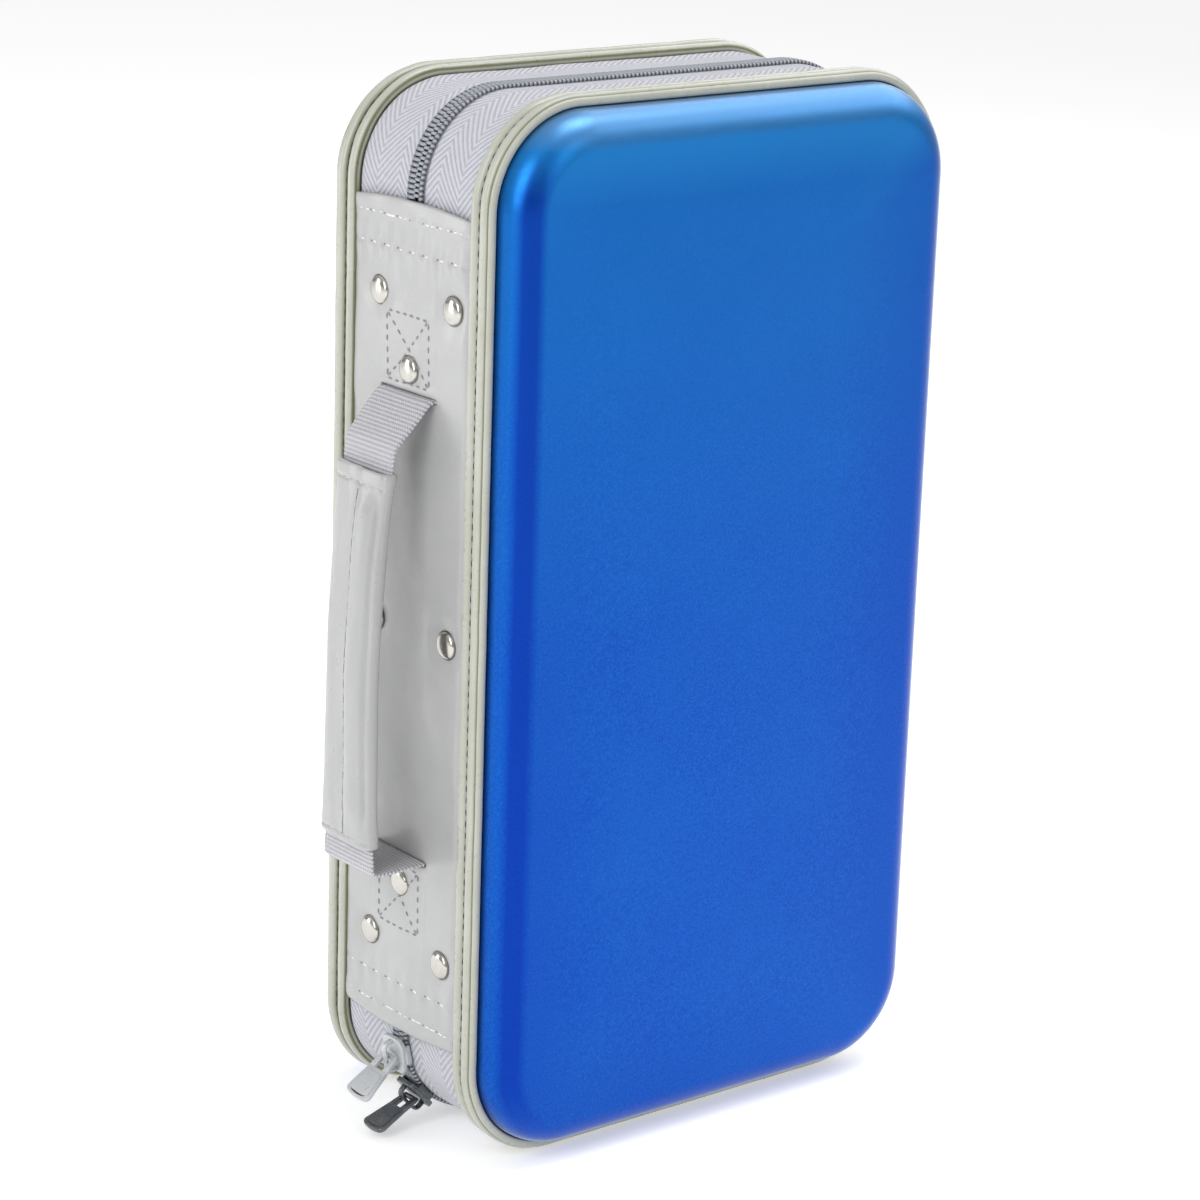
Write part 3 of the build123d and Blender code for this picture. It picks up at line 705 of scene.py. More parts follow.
    # gusset tape: one strip from behind the spine cover, round three sides, and back
    s = TAPE_RIM.stations(3.0, 26, TAPE_S0, TAPE_S1)
    depth = [0.75, 1.4, 2.4, 3.4, 4.6, 6.5, 9.0, 12.0, 15.0, 18.0, 21.0, 23.5, 25.2, 26.3, 27.0]
    inset = [2.6, 2.55, 2.55, 2.6, 2.7, 2.75, 2.75, 2.8, 2.8, 2.75, 2.7, 2.65, 2.7, 3.1, 3.9]
    prof = list(zip(inset, depth)) + [(i + 0.7, d) for i, d in reversed(list(zip(inset, depth)))]

    def slack(ss, j):
        jj = np.where(j < 15, j, 29 - j)
        across = np.sin(np.clip((jj - 3) / 11.0, 0, 1) * math.pi)
        start = np.clip((ss - TAPE_S0 - 14) / 16, 0, 1) * np.clip((TAPE_S1 - 14 - ss) / 16, 0, 1)
        d = across * start * (0.32 * wave(ss, LEN0, seed + 8, 6, 34) + 0.14 * wave(ss, LEN0, seed + 9, 40, 110) + 0.1)
        return d + 0 * j, 0 * d + 0 * j

    tape = sweep(f"{name}_gusset_tape", side, prof, TAPE, s=s, ref=TAPE_REF, closed=False, ring=True, shift=slack)
    # its outer edge keeps to the cover's binding, its chain edge to the spine as far as the corner
    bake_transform(tape)
    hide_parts(f"{name}_zip_tape", "lower_corner_tape", "upper_corner_tape")

    # the zip chain's own half: a row of nylon turns on a cord
    s_a, s_b = TAPE_RIM.cum[1] - 2.4, TAPE_RIM.length - TAPE_RIM.cum[1] + 2.4
    pitch = 1.42
    m = int((s_b - s_a) // pitch)
    st = s_a + (np.arange(m) + (0.5 if side > 0 else 0.0)) * pitch
    q, g = TAPE_RIM.at(st)
    tx = np.stack([-g[:, 1], np.zeros(m), g[:, 0]], -1)
    up = np.stack([g[:, 0], np.zeros(m), g[:, 1]], -1)
    across = np.tile([0.0, side, 0.0], (m, 1))
    pts, fcs = bead(7, 8, 2.4)
    turn = pts[:, [1, 0, 2]] * np.array([0.53, 1.75, 0.62])
    origin = np.stack([q[:, 0] + g[:, 0] * 0.55, np.full(m, side * 1.42), q[:, 1] + g[:, 1] * 0.55], -1)
    teeth = scatter(f"{name}_zip_teeth", turn, fcs, origin, np.stack([tx, across, up], 1), CHAIN)
    marks = np.tile(np.stack([0 * turn[:, 0], turn[:, 1] + 1.42, turn[:, 2] + 0.3], -1), (m, 1))
    teeth.data.attributes.new("path", "FLOAT_VECTOR", "POINT").data.foreach_set("vector", marks.astype(np.float32).ravel())
    core = sweep(f"{name}_zip_cord", side, [(2.55 + 0.62 * math.cos(a) - 0.35, 2.7 + 0.6 * math.sin(a)) for a in np.linspace(0, 2 * math.pi, 9)[:-1]],
                 CHAIN, s=TAPE_RIM.stations(4.0, 26, s_a, s_b), ref=TAPE_REF, closed=False, ring=True, crease=[-1.0] * 8)
    chain = join(f"{name}_zip_coil", [teeth, core])
    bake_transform(chain)
    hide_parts(f"{name}_zip_chain", "lower_corner_chain", "upper_corner_chain")


cover(-1, "front")
cover(1, "back")

# ------------------------------------------------------------------ spine cover
def spine_out(y, z):
    """How far the spine cover's face stands out of its CAD face, in mm, at y and z."""
    h = 0.50 * wave2(y * 1.8, z * 0.8, 51, 26, 95) + 0.12 * wave2(y, z * 1.5, 52, 9, 22)
    h = h + 0.45 * (1 - (y / 26.0) ** 2)  # crowned over the board
    h = h - 0.5 * np.clip((np.abs(y) - 23.6) / 2.6, 0, 1) ** 2  # tucked in beside the piping
    for z0 in (PANEL_Z0, PANEL_Z1):
        d = np.abs(z - z0)
        h = h + 0.32 * (1 / (1 + np.exp((d - 5.6) / 0.35)))  # folded hem
        pull = 0.45 + 0.55 * np.cos((y + 24.5) * 2 * math.pi / 6.125)
        h = h - 0.34 * pull * np.exp(-(((d - 4.4) / 0.75) ** 2)) - 0.40 * pull * np.exp(-(((d - 13.0) / 0.95) ** 2))  # pulled in by the stitching
        h = h + 0.16 * np.exp(-(((d - 13.0) / 6.0) ** 2)) * np.sin(y * 2 * math.pi / 6.125)
        h = h - 0.25 * np.exp(-((d / 0.7) ** 2))
    for yy in RIVET_YS:
        for zz in RIVET_Z:
            rr = np.hypot(y - yy, z - zz)
            h = h - 0.72 * np.exp(-((rr / 5.8) ** 2)) + 0.16 * np.exp(-(((rr - 8.0) / 2.4) ** 2))
    for zz in STRAP_RIVET_Z:
        rr = np.hypot(y, z - zz)
        h = h - 0.78 * np.exp(-((rr / 5.8) ** 2))
    for k, zz in enumerate(SLIT_Z):
        way = 1 if k else -1
        lip = np.clip(1 - np.abs(y) / 14.5, 0, 1) ** 0.5
        h = h + 0.75 * lip * np.exp(-(((z - zz - way * 2.2) / 1.6) ** 2)) - 0.55 * lip * np.exp(-(((z - zz) / 1.0) ** 2))
        h = h + 0.30 * np.clip(1 - np.abs(y) / 13, 0, 1) ** 0.3 * (1 / (1 + np.exp(-((z - zz) * way - 2) / 0.6))) * (1 / (1 + np.exp(((z - zz) * way - 25) / 0.8)))
    return h


def spine_panel():
    ys = np.concatenate([np.linspace(-26.2, -23.0, 9)[:-1], np.linspace(-23.0, 23.0, 93), np.linspace(23.0, 26.2, 9)[1:]])
    zs = np.linspace(PANEL_Z0, PANEL_Z1, 472)
    zz, yy = np.meshgrid(zs, ys, indexing="ij")
    # the ends bow outwards a little, as the sheet is pulled over the corner
    bow = 1.6 * (1 - (yy / 26.2) ** 2)
    mid = (PANEL_Z0 + PANEL_Z1) / 2
    z = mid + (zz - mid) * (1 + (bow - 0.8) * np.abs((zz - mid) / (PANEL_Z1 - mid)) ** 8 / (PANEL_Z1 - mid))
    x = XP - spine_out(yy, zz)
    n, m = zz.shape
    outer = np.stack([x, yy, z], -1).reshape(-1, 3)
    inner = np.stack([np.full_like(x, XP + 0.9), yy, z], -1).reshape(-1, 3)
    faces = list(grid_faces(n, m)) + [f[::-1] + n * m for f in grid_faces(n, m)]
    edge = [i * m for i in range(n)] + [(n - 1) * m + j for j in range(1, m)] + [i * m + m - 1 for i in range(n - 2, -1, -1)] + list(range(m - 2, 0, -1))
    for a, b in zip(edge, edge[1:] + edge[:1]):
        faces.append((a, b, b + n * m, a + n * m))
    # open the strap's slits, with walls through the sheet's thickness
    keep, cut = [], {}
    half = len(grid_faces(n, m))
    for k, f in enumerate(faces):
        q = f[0] % (n * m)
        zc, yc = zs[q // m], ys[q % m]
        if k < 2 * half and abs(yc) < 12.7 and min(abs(zc - v) for v in SLIT_Z) < 0.85:
            if k < half:
                for a, b in zip(f, list(f[1:]) + [f[0]]):
                    cut[frozenset((int(a), int(b)))] = cut.get(frozenset((int(a), int(b))), 0) + 1
            continue
        keep.append(f)
    for pair, uses in cut.items():
        if uses == 1:
            a, b = tuple(pair)
            keep.append((a, b, b + n * m, a + n * m))
    obj = make("spine_cover_vinyl", np.concatenate([outer, inner]), keep, VINYL)
    outward(obj)
    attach(obj, "spine")
    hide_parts("spine_cover")


spine_panel()


def on_spine(y, z, lift=0.0):
    y, z = np.asarray(y, float), np.asarray(z, float)
    return np.stack([XP - spine_out(y, z) - lift, y, z], -1)


def spine_thread(name, lines, pitch, fill, radius, material):
    """Running stitches along straight lines ((y, z), (y, z)) on the spine cover."""
    a, b = [], []
    for (y0, z0), (y1, z1) in lines:
        length = math.hypot(y1 - y0, z1 - z0)
        k = max(1, int(round(length / pitch)))
        for i in range(k):
            t0, t1 = (i + (1 - fill) / 2) / k, (i + (1 + fill) / 2) / k
            w = random.uniform(-0.12, 0.12)
            a.append((y0 + (y1 - y0) * t0, z0 + (z1 - z0) * t0 + w))
            b.append((y0 + (y1 - y0) * t1, z0 + (z1 - z0) * t1 + w))
    a, b = np.array(a), np.array(b)
    obj = stitches(name, on_spine(a[:, 0], a[:, 1], 0.02), on_spine(b[:, 0], b[:, 1], 0.02), np.tile([-1.0, 0, 0], (len(a), 1)), radius, material, dive=0.2)
    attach(obj, "spine")
    return obj


spine_thread("spine_hem_stitching", [((-24.5, z), (24.5, z)) for z in (PANEL_Z0 + 4.4, PANEL_Z0 + 13.0, PANEL_Z1 - 4.4, PANEL_Z1 - 13.0)], 6.125, 0.84, 0.36, THREAD_PALE)
# painted shade in the needle holes: small dark grey dots between the hem stitches
spine_thread("spine_hem_needle_hole_shade", [((-21.4375, z), (21.4375, z)) for z in (PANEL_Z0 + 4.4, PANEL_Z0 + 13.0, PANEL_Z1 - 4.4, PANEL_Z1 - 13.0)], 6.125, 0.13, 0.30, THREAD_GREY)
for side in (-1, 1):
    z = np.linspace(33.5, 266.5, 120)
    rows = [np.stack([np.full_like(z, XS + 2.1 + dx), np.full_like(z, side * yy), z], -1) for yy, dx in ((25.2, 0.0), (26.1, -0.25), (27.0, 0.1), (27.0, 1.0), (25.2, 1.0))]
    lip = outward(make(f"spine_seam_{'front' if side < 0 else 'back'}", np.stack(rows, 1).reshape(-1, 3), grid_faces(120, 5, False, True), SEAM))
    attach(lip, "spine")
boxes = []
for k, zz in enumerate(SLIT_Z):
    way = 1 if k else -1
    z0, z1 = zz + way * 3.2, zz + way * 22.0
    boxes += [((-9.4, z0), (9.4, z0)), ((-9.4, z1), (9.4, z1)), ((-9.4, z0), (-9.4, z1)), ((9.4, z0), (9.4, z1)), ((-9.4, z0), (9.4, z1)), ((9.4, z0), (-9.4, z1))]
spine_thread("strap_box_stitching", boxes, 2.9, 0.62, 0.33, THREAD_GREY)


# ------------------------------------------------------------------ rivets
def rivets():
    prof = [(0.0, 1.42), (1.2, 1.39), (2.2, 1.28), (3.0, 1.08), (3.5, 0.84), (3.76, 0.56), (3.85, 0.32), (3.88, 0.2), (4.02, 0.25), (4.17, 0.15), (4.14, 0.0), (3.8, -0.3), (3.4, -0.4)]
    seg = 40
    pts = np.array([(r * math.cos(2 * math.pi * j / seg), r * math.sin(2 * math.pi * j / seg), h) for r, h in prof for j in range(seg)])
    fcs = grid_faces(len(prof), seg, False, True)
    for name, node, spots in (
        ("spine_rivet_heads", "spine_rivets", [(y, z) for z in RIVET_Z for y in RIVET_YS]),
        ("strap_rivet_heads", "strap_rivets", [(0.0, z) for z in STRAP_RIVET_Z]),
    ):
        o = np.array([(XP + 0.05, y, z) for y, z in spots])
        f = np.tile(np.array([[0, -1, 0], [0, 0, 1], [-1, 0, 0]], float), (len(spots), 1, 1))
        heads = scatter(name + "_top", pts, fcs, o, f, [NICKEL, NICKEL_RIM_SHADE])
        # the heads' outer rings get the painted-shade nickel
        rim = (np.arange(len(heads.data.polygons)) % len(fcs)) // seg >= 6
        heads.data.polygons.foreach_set("material_index", rim.astype(np.int32))
        tail = [(0.0, 0.0), (1.9, 0.02), (2.25, 0.12), (2.3, 0.35), (1.5, 0.55), (1.48, 5.5)]
        tp = np.array([(r * math.cos(2 * math.pi * j / 20), r * math.sin(2 * math.pi * j / 20), h) for r, h in tail for j in range(20)])
        depth = 6.6 if node == "spine_rivets" else 5.2
        tails = scatter(name + "_tail", tp, grid_faces(len(tail), 20, False, True), o + np.array([depth - 0.05, 0, 0]), f, NICKEL)
        obj = outward(join(name, [heads, tails]))
        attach(obj, "spine")
        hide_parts(node)


rivets()


# ------------------------------------------------------------------ handle
def round_path(points, radii, step=0.5):
    """A polyline with rounded corners, sampled every step mm. Returns points and unit tangents."""
    pts = [np.array(p, float) for p in points]
    out = []
    here = pts[0]
    for i, rad in enumerate(radii):
        a, b, c = pts[i], pts[i + 1], pts[i + 2]
        ua, uc = (b - a) / np.linalg.norm(b - a), (c - b) / np.linalg.norm(c - b)
        turn = math.acos(float(np.clip(ua @ uc, -1, 1)))
        cut = rad * math.tan(turn / 2)
        p, q = b - ua * cut, b + uc * cut
        n = max(2, int(np.linalg.norm(p - here) / step))
        out += [here + (p - here) * k / n for k in range(n)]
        n = max(4, int(rad * turn / step))
        for k in range(n):
            t = k / n
            out.append((1 - t) ** 2 * p + 2 * t * (1 - t) * b + t * t * q)
        here = q
    n = max(2, int(np.linalg.norm(pts[-1] - here) / step))
    out += [here + (pts[-1] - here) * k / n for k in range(n + 1)]
    out = np.array(out)
    d = np.gradient(out, axis=0)
    return out, d / np.linalg.norm(d, axis=1, keepdims=True)


def webbing(name, points, radii, half0, half1):
    """Cross-ribbed webbing along a path of (out, z) corners, out being measured from the spine cover's face."""
    line, tan = round_path([(o - XP, z) for o, z in points], radii, 0.21)
    s = np.concatenate([[0], np.cumsum(np.linalg.norm(np.diff(line, axis=0), axis=1))])
    out_n = np.stack([tan[:, 1], -tan[:, 0]], -1)
    y = np.linspace(-1, 1, 25)
    t = np.clip((s - 26) / max(1e-6, s[-1] - 26), 0, 1) ** 1.3
    half = half0 + (half1 - half0) * t + 0.12 * np.sin(2 * math.pi * s / 1.2)
    rib = 0.10 * np.sin(2 * math.pi * s / 1.2)[:, None] * (1 - 0.5 * np.abs(y)[None] ** 8)
    edge = 0.62 * (1 - np.abs(y)[None] ** 10 * 0.5)
    wavy = 0.16 * np.sin(s / 7.0 + 1)[:, None] * y[None] ** 2 + 0.10 * np.sin(s / 3.1)[:, None] * y[None] ** 3
    layers = []
    for sgn in (1, -1):
        off = sgn * edge + rib * 0.5 * sgn + wavy
        layers.append(np.stack([-(line[:, None, 0] + out_n[:, None, 0] * off), half[:, None] * y[None], line[:, None, 1] + out_n[:, None, 1] * off], -1))
    ring = np.concatenate([layers[0], layers[1][:, ::-1]], 1)
    n, m = ring.shape[:2]
    vv = half[:, None] * y[None] + 20
    path = np.stack([np.broadcast_to(s[:, None], (n, m)), np.concatenate([vv, vv[:, ::-1]], 1), np.zeros((n, m))], -1)
    faces = list(grid_faces(n, m, False, True)) + [tuple(range(m)), tuple(range((n - 1) * m, n * m))[::-1]]
    return outward(make(name, ring.reshape(-1, 3), faces, WEB, path.reshape(-1, 3)))


for name, corners, radii, node in (
    ("strap_upper_webbing", [(-2.2, SLIT_Z[1] + 24), (-2.2, SLIT_Z[1]), (1.3, SLIT_Z[1]), (12.5, 204.2), (GRIP_TOP_OUT + 0.3, 195.0)], [1.0, 2.4, 7.0], "strap_upper_leg"),
    ("strap_lower_webbing", [(-2.2, SLIT_Z[0] - 24), (-2.2, SLIT_Z[0]), (GRIP_OUT, SLIT_Z[0] - 0.2), (GRIP_OUT, 95.0)], [1.0, 2.2], "strap_lower_leg"),
):
    leg = webbing(name, corners, radii, 12.1, 10.9)
    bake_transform(leg)
    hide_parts(node)

core = webbing("grip_strap_webbing", [(grip_out(z), z) for z in (92.2, 120.0, 150.0, 175.0, 197.8)], [300.0, 300.0, 300.0], 9.9, 9.9)
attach(core, "handle")
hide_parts("grip_strap")


def tube_rows(zs, seg, shape):
    """A tube up the grip. shape(z, angles) gives each ring's (out, y) about the grip's middle."""
    a = np.linspace(0, 2 * math.pi, seg + 1)[:-1]
    rows = []
    for z in zs:
        o, y = shape(z, a)
        rows.append(np.stack([XP - grip_out(z) - o, y, np.full(seg, z)], -1))
    return np.array(rows)


def grip():
    """Vinyl folded round the padded strap: one edge lapped over the other and sewn, hemmed ends, soft creases."""
    seg = 120
    zs = np.concatenate([np.linspace(GRIP_Z0, GRIP_Z0 + 10, 30)[:-1], np.linspace(GRIP_Z0 + 10, GRIP_Z1 - 10, 130), np.linspace(GRIP_Z1 - 10, GRIP_Z1, 30)[1:]])
    zc, zh = (GRIP_Z0 + GRIP_Z1) / 2, (GRIP_Z1 - GRIP_Z0) / 2

    def shape(z, a):
        t = abs(z - zc) / zh
        end = min(z - GRIP_Z0, GRIP_Z1 - z)
        hw = 10.9 + 0.9 * t ** 2.2 + 0.45 * math.exp(-((end / 6.0) ** 2)) - 0.95 * (1 - math.sqrt(1 - (1 - min(max(end, 0.0) / 1.8, 1.0)) ** 2))
        hd = 2.5 + 0.30 * (1 - t ** 2) + 0.1 * math.exp(-((end / 4.0) ** 2))
        c, s_ = np.cos(a), np.sin(a)
        y = hw * np.sign(c) * np.abs(c) ** 0.60
        o = hd * np.sign(s_) * np.abs(s_) ** 0.60
        face = np.clip(s_ * 3, -1, 1)
        front = s_ > 0.2
        lap = -0.6 + 0.30 * math.sin(z / 8.0) - 0.35 * abs(math.sin(math.pi * z / 4.4))
        over = 1 / (1 + np.exp((y - lap) / 0.18))  # 1 on the flap that lies on top
        body = np.clip((end - 5.0) / 6.0, 0, 1)
        o = o + np.where(front, over * (0.52 + 0.95 * body * np.clip(1 - ((y + 4.6) / 4.6) ** 2, 0, 1)), 0.0)
        o = o - np.where(front, 0.42 * np.exp(-(((y - lap - 0.40) / 0.32) ** 2)), 0.0)
        o = o - np.where(front, 0.80 * body * np.exp(-(((y + hw - 2.1) / 0.60) ** 2)), 0.0)  # crease beside the rolled edge
        o = o + face * (0.20 * wave2(y * 1.5, np.full(len(a), z * 0.55), 71, 9, 60) + 0.10 * wave2(y * 2.4, np.full(len(a), z * 0.4), 72, 6, 16))
        o = o + face * 0.28 * math.exp(-end / 11.0) * np.sin(y * 1.15 + 1.3 * math.sin(z * 0.13)) * body
        hem = 4.3 if z > zc else 2.0
        o = o - face * 0.34 * math.exp(-(((end - hem) / 0.45) ** 2)) + face * 0.05 / (1 + math.exp((end - hem) / 0.35))
        o = o - face * 0.30 * math.exp(-((end / 0.5) ** 2))
        return o, y

    outer = tube_rows(zs, seg, shape)
    centre = outer.mean(1, keepdims=True)
    inner = centre + (outer - centre) * np.array([0.74, 0.955, 1.0])
    n = len(zs)
    verts = np.concatenate([outer.reshape(-1, 3), inner.reshape(-1, 3)])
    verts[:, 2] += 0.30 * wave2(verts[:, 1], 0 * verts[:, 1], 74, 8, 30) * (np.abs(verts[:, 2] - zc) / zh) ** 12
    faces = list(grid_faces(n, seg, False, True)) + [f[::-1] + n * seg for f in grid_faces(n, seg, False, True)]
    for j in range(seg):
        k = (j + 1) % seg
        faces.append((j, k, k + n * seg, j + n * seg))
        b = (n - 1) * seg
        faces.append((b + k, b + j, b + j + n * seg, b + k + n * seg))
    obj = outward(make("grip_sleeve_vinyl", verts, faces, GRIP))
    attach(obj, "handle")
    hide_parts("grip_sleeve")

    # stitching down the lap and across each hem, laid on the sleeve's own face
    a = np.linspace(0, 2 * math.pi, seg + 1)[:-1]
    seen = [q for q in range(seg) if math.sin(a[q]) > 0.15]

    def face_x(y, z):
        row = outer[int(np.argmin(np.abs(zs - z)))]
        order = sorted(seen, key=lambda q: row[q, 1])
        return float(np.interp(y, row[order, 1], row[order, 0])) - 0.04

    pa, pb = [], []
    z = GRIP_Z0 + 7
    while z < GRIP_Z1 - 9:
        pa.append((face_x(-1.4, z), -1.4, z))
        pb.append((face_x(-1.4, z + 2.9), -1.4, z + 2.9))
        z += 4.4
    for zz in (GRIP_Z0 + 2.0, GRIP_Z1 - 4.3):
        y = -10.8
        while y < 9.8:
            pa.append((face_x(y, zz), y, zz))
            pb.append((face_x(y + 2.2, zz), y + 2.2, zz))
            y += 3.3
    th = stitches("grip_stitching", pa, pb, np.tile([-1.0, 0, 0], (len(pa), 1)), 0.25, THREAD_SOFT, dive=0.2)
    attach(th, "handle")
    # painted shade along the lap's edge: a continuous row of grey thread beads in the groove beside the lapped flap
    z = np.arange(GRIP_Z0 + 2.4, GRIP_Z1 - 4.6, 1.1)
    y = -0.6 + 0.30 * np.sin(z / 8.0) - 0.35 * np.abs(np.sin(math.pi * z / 4.4)) + 0.34
    pts = [(face_x(b, a) - 0.02, b, a) for a, b in zip(z, y)]
    edge = stitches("grip_lap_shade_line", pts[:-1], pts[1:], np.tile([-1.0, 0, 0], (len(pts) - 1, 1)), 0.19, THREAD_GREY, dive=0.0)
    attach(edge, "handle")

    # foam either side of the strap inside the sleeve
    zs2 = np.linspace(GRIP_Z0 + 3, GRIP_Z1 - 3, 60)
    for k, sgn in enumerate((-1, 1)):

        def slab(z, a, sgn=sgn):
            c, s_ = np.cos(a), np.sin(a)
            t = abs(z - zc) / (zh - 3)
            o = sgn * 1.42 + 0.62 * np.sign(s_) * np.abs(s_) ** 0.5 * (1 - 0.3 * t ** 8)
            return o, (9.3 + 0.6 * t * t) * np.sign(c) * np.abs(c) ** 0.5

        rows = tube_rows(zs2, 40, slab)
        faces = list(grid_faces(60, 40, False, True)) + [tuple(range(40)), tuple(range(59 * 40, 60 * 40))[::-1]]
        pad = outward(make(f"grip_foam_{k + 1}", rows.reshape(-1, 3), faces, FOAM))
        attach(pad, "handle")
        if k == 0:
            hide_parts("grip_padding")


grip()


# ------------------------------------------------------------------ zip sliders and pulls
def solid(parts, bevel, material, name, matrix):
    """Joins convex or extruded outlines (list of (outline, z0, z1)), rounds their edges, and places the result."""
    bm = bmesh.new()
    for outline, z0, z1 in parts:
        low = [bm.verts.new((x, y, z0)) for x, y in outline]
        high = [bm.verts.new((x, y, z1)) for x, y in outline]
        bm.faces.new(low[::-1])
        bm.faces.new(high)
        for i in range(len(outline)):
            j = (i + 1) % len(outline)
            bm.faces.new((low[i], low[j], high[j], high[i]))
    bmesh.ops.recalc_face_normals(bm, faces=bm.faces)
    sharp = [e for e in bm.edges if len(e.link_faces) == 2 and e.calc_face_angle(0) > 0.7]
    bmesh.ops.bevel(bm, geom=sharp, offset=bevel, offset_type="OFFSET", segments=3, profile=0.5, affect="EDGES", clamp_overlap=True)
    mesh = bpy.data.meshes.new(name)
    bm.to_mesh(mesh)
    bm.free()
    mesh.materials.append(material)
    mesh.transform(matrix)
    mesh.transform(Matrix.Scale(MM, 4))
    for p in mesh.polygons:
        p.use_smooth = True
    obj = bpy.data.objects.new(name, mesh)
    bpy.context.scene.collection.objects.link(obj)
    return obj


def rounded(x0, x1, y0, y1, r, n=6):
    pts = []
    for cx, cy, a0 in ((x1 - r, y1 - r, 0), (x0 + r, y1 - r, 90), (x0 + r, y0 + r, 180), (x1 - r, y0 + r, 270)):
        for k in range(n + 1):
            a = math.radians(a0 + 90 * k / n)
            pts.append((cx + r * math.cos(a), cy + r * math.sin(a)))
    return pts


def tube(name, line, half_w, half_t, side_dir, material, matrix, power=2.6, seg=14, closed=False):
    """A bar with a rounded section that follows line. half_w is along side_dir, half_t across it."""
    line = np.array(line, float)
    if closed:
        d = np.roll(line, -1, 0) - np.roll(line, 1, 0)
    else:
        d = np.gradient(line, axis=0)
    d /= np.linalg.norm(d, axis=1, keepdims=True)
    w = np.tile(np.array(side_dir, float), (len(line), 1))
    w -= (w * d).sum(1, keepdims=True) * d
    w /= np.linalg.norm(w, axis=1, keepdims=True)
    t = np.cross(d, w)
    a = np.linspace(0, 2 * math.pi, seg + 1)[:-1]
    ca, sa = np.cos(a), np.sin(a)
    u = half_w * np.sign(ca) * np.abs(ca) ** (2 / power)
    v = half_t * np.sign(sa) * np.abs(sa) ** (2 / power)
    verts = (line[:, None] + w[:, None] * u[None, :, None] + t[:, None] * v[None, :, None]).reshape(-1, 3)
    faces = list(grid_faces(len(line), seg, closed, True))
    if not closed:
        faces += [tuple(range(seg)), tuple(range((len(line) - 1) * seg, len(line) * seg))[::-1]]
    obj = outward(make(name, verts, faces, material))
    obj.data.transform(Matrix.Scale(1 / MM, 4))
    obj.data.transform(matrix)
    obj.data.transform(Matrix.Scale(MM, 4))
    return obj


def frame_matrix(origin, x, z):
    x, z = Vector(x), Vector(z)
    y = z.cross(x)
    m = Matrix((x, y, z)).transposed().to_4x4()
    m.translation = Vector(origin)
    return m


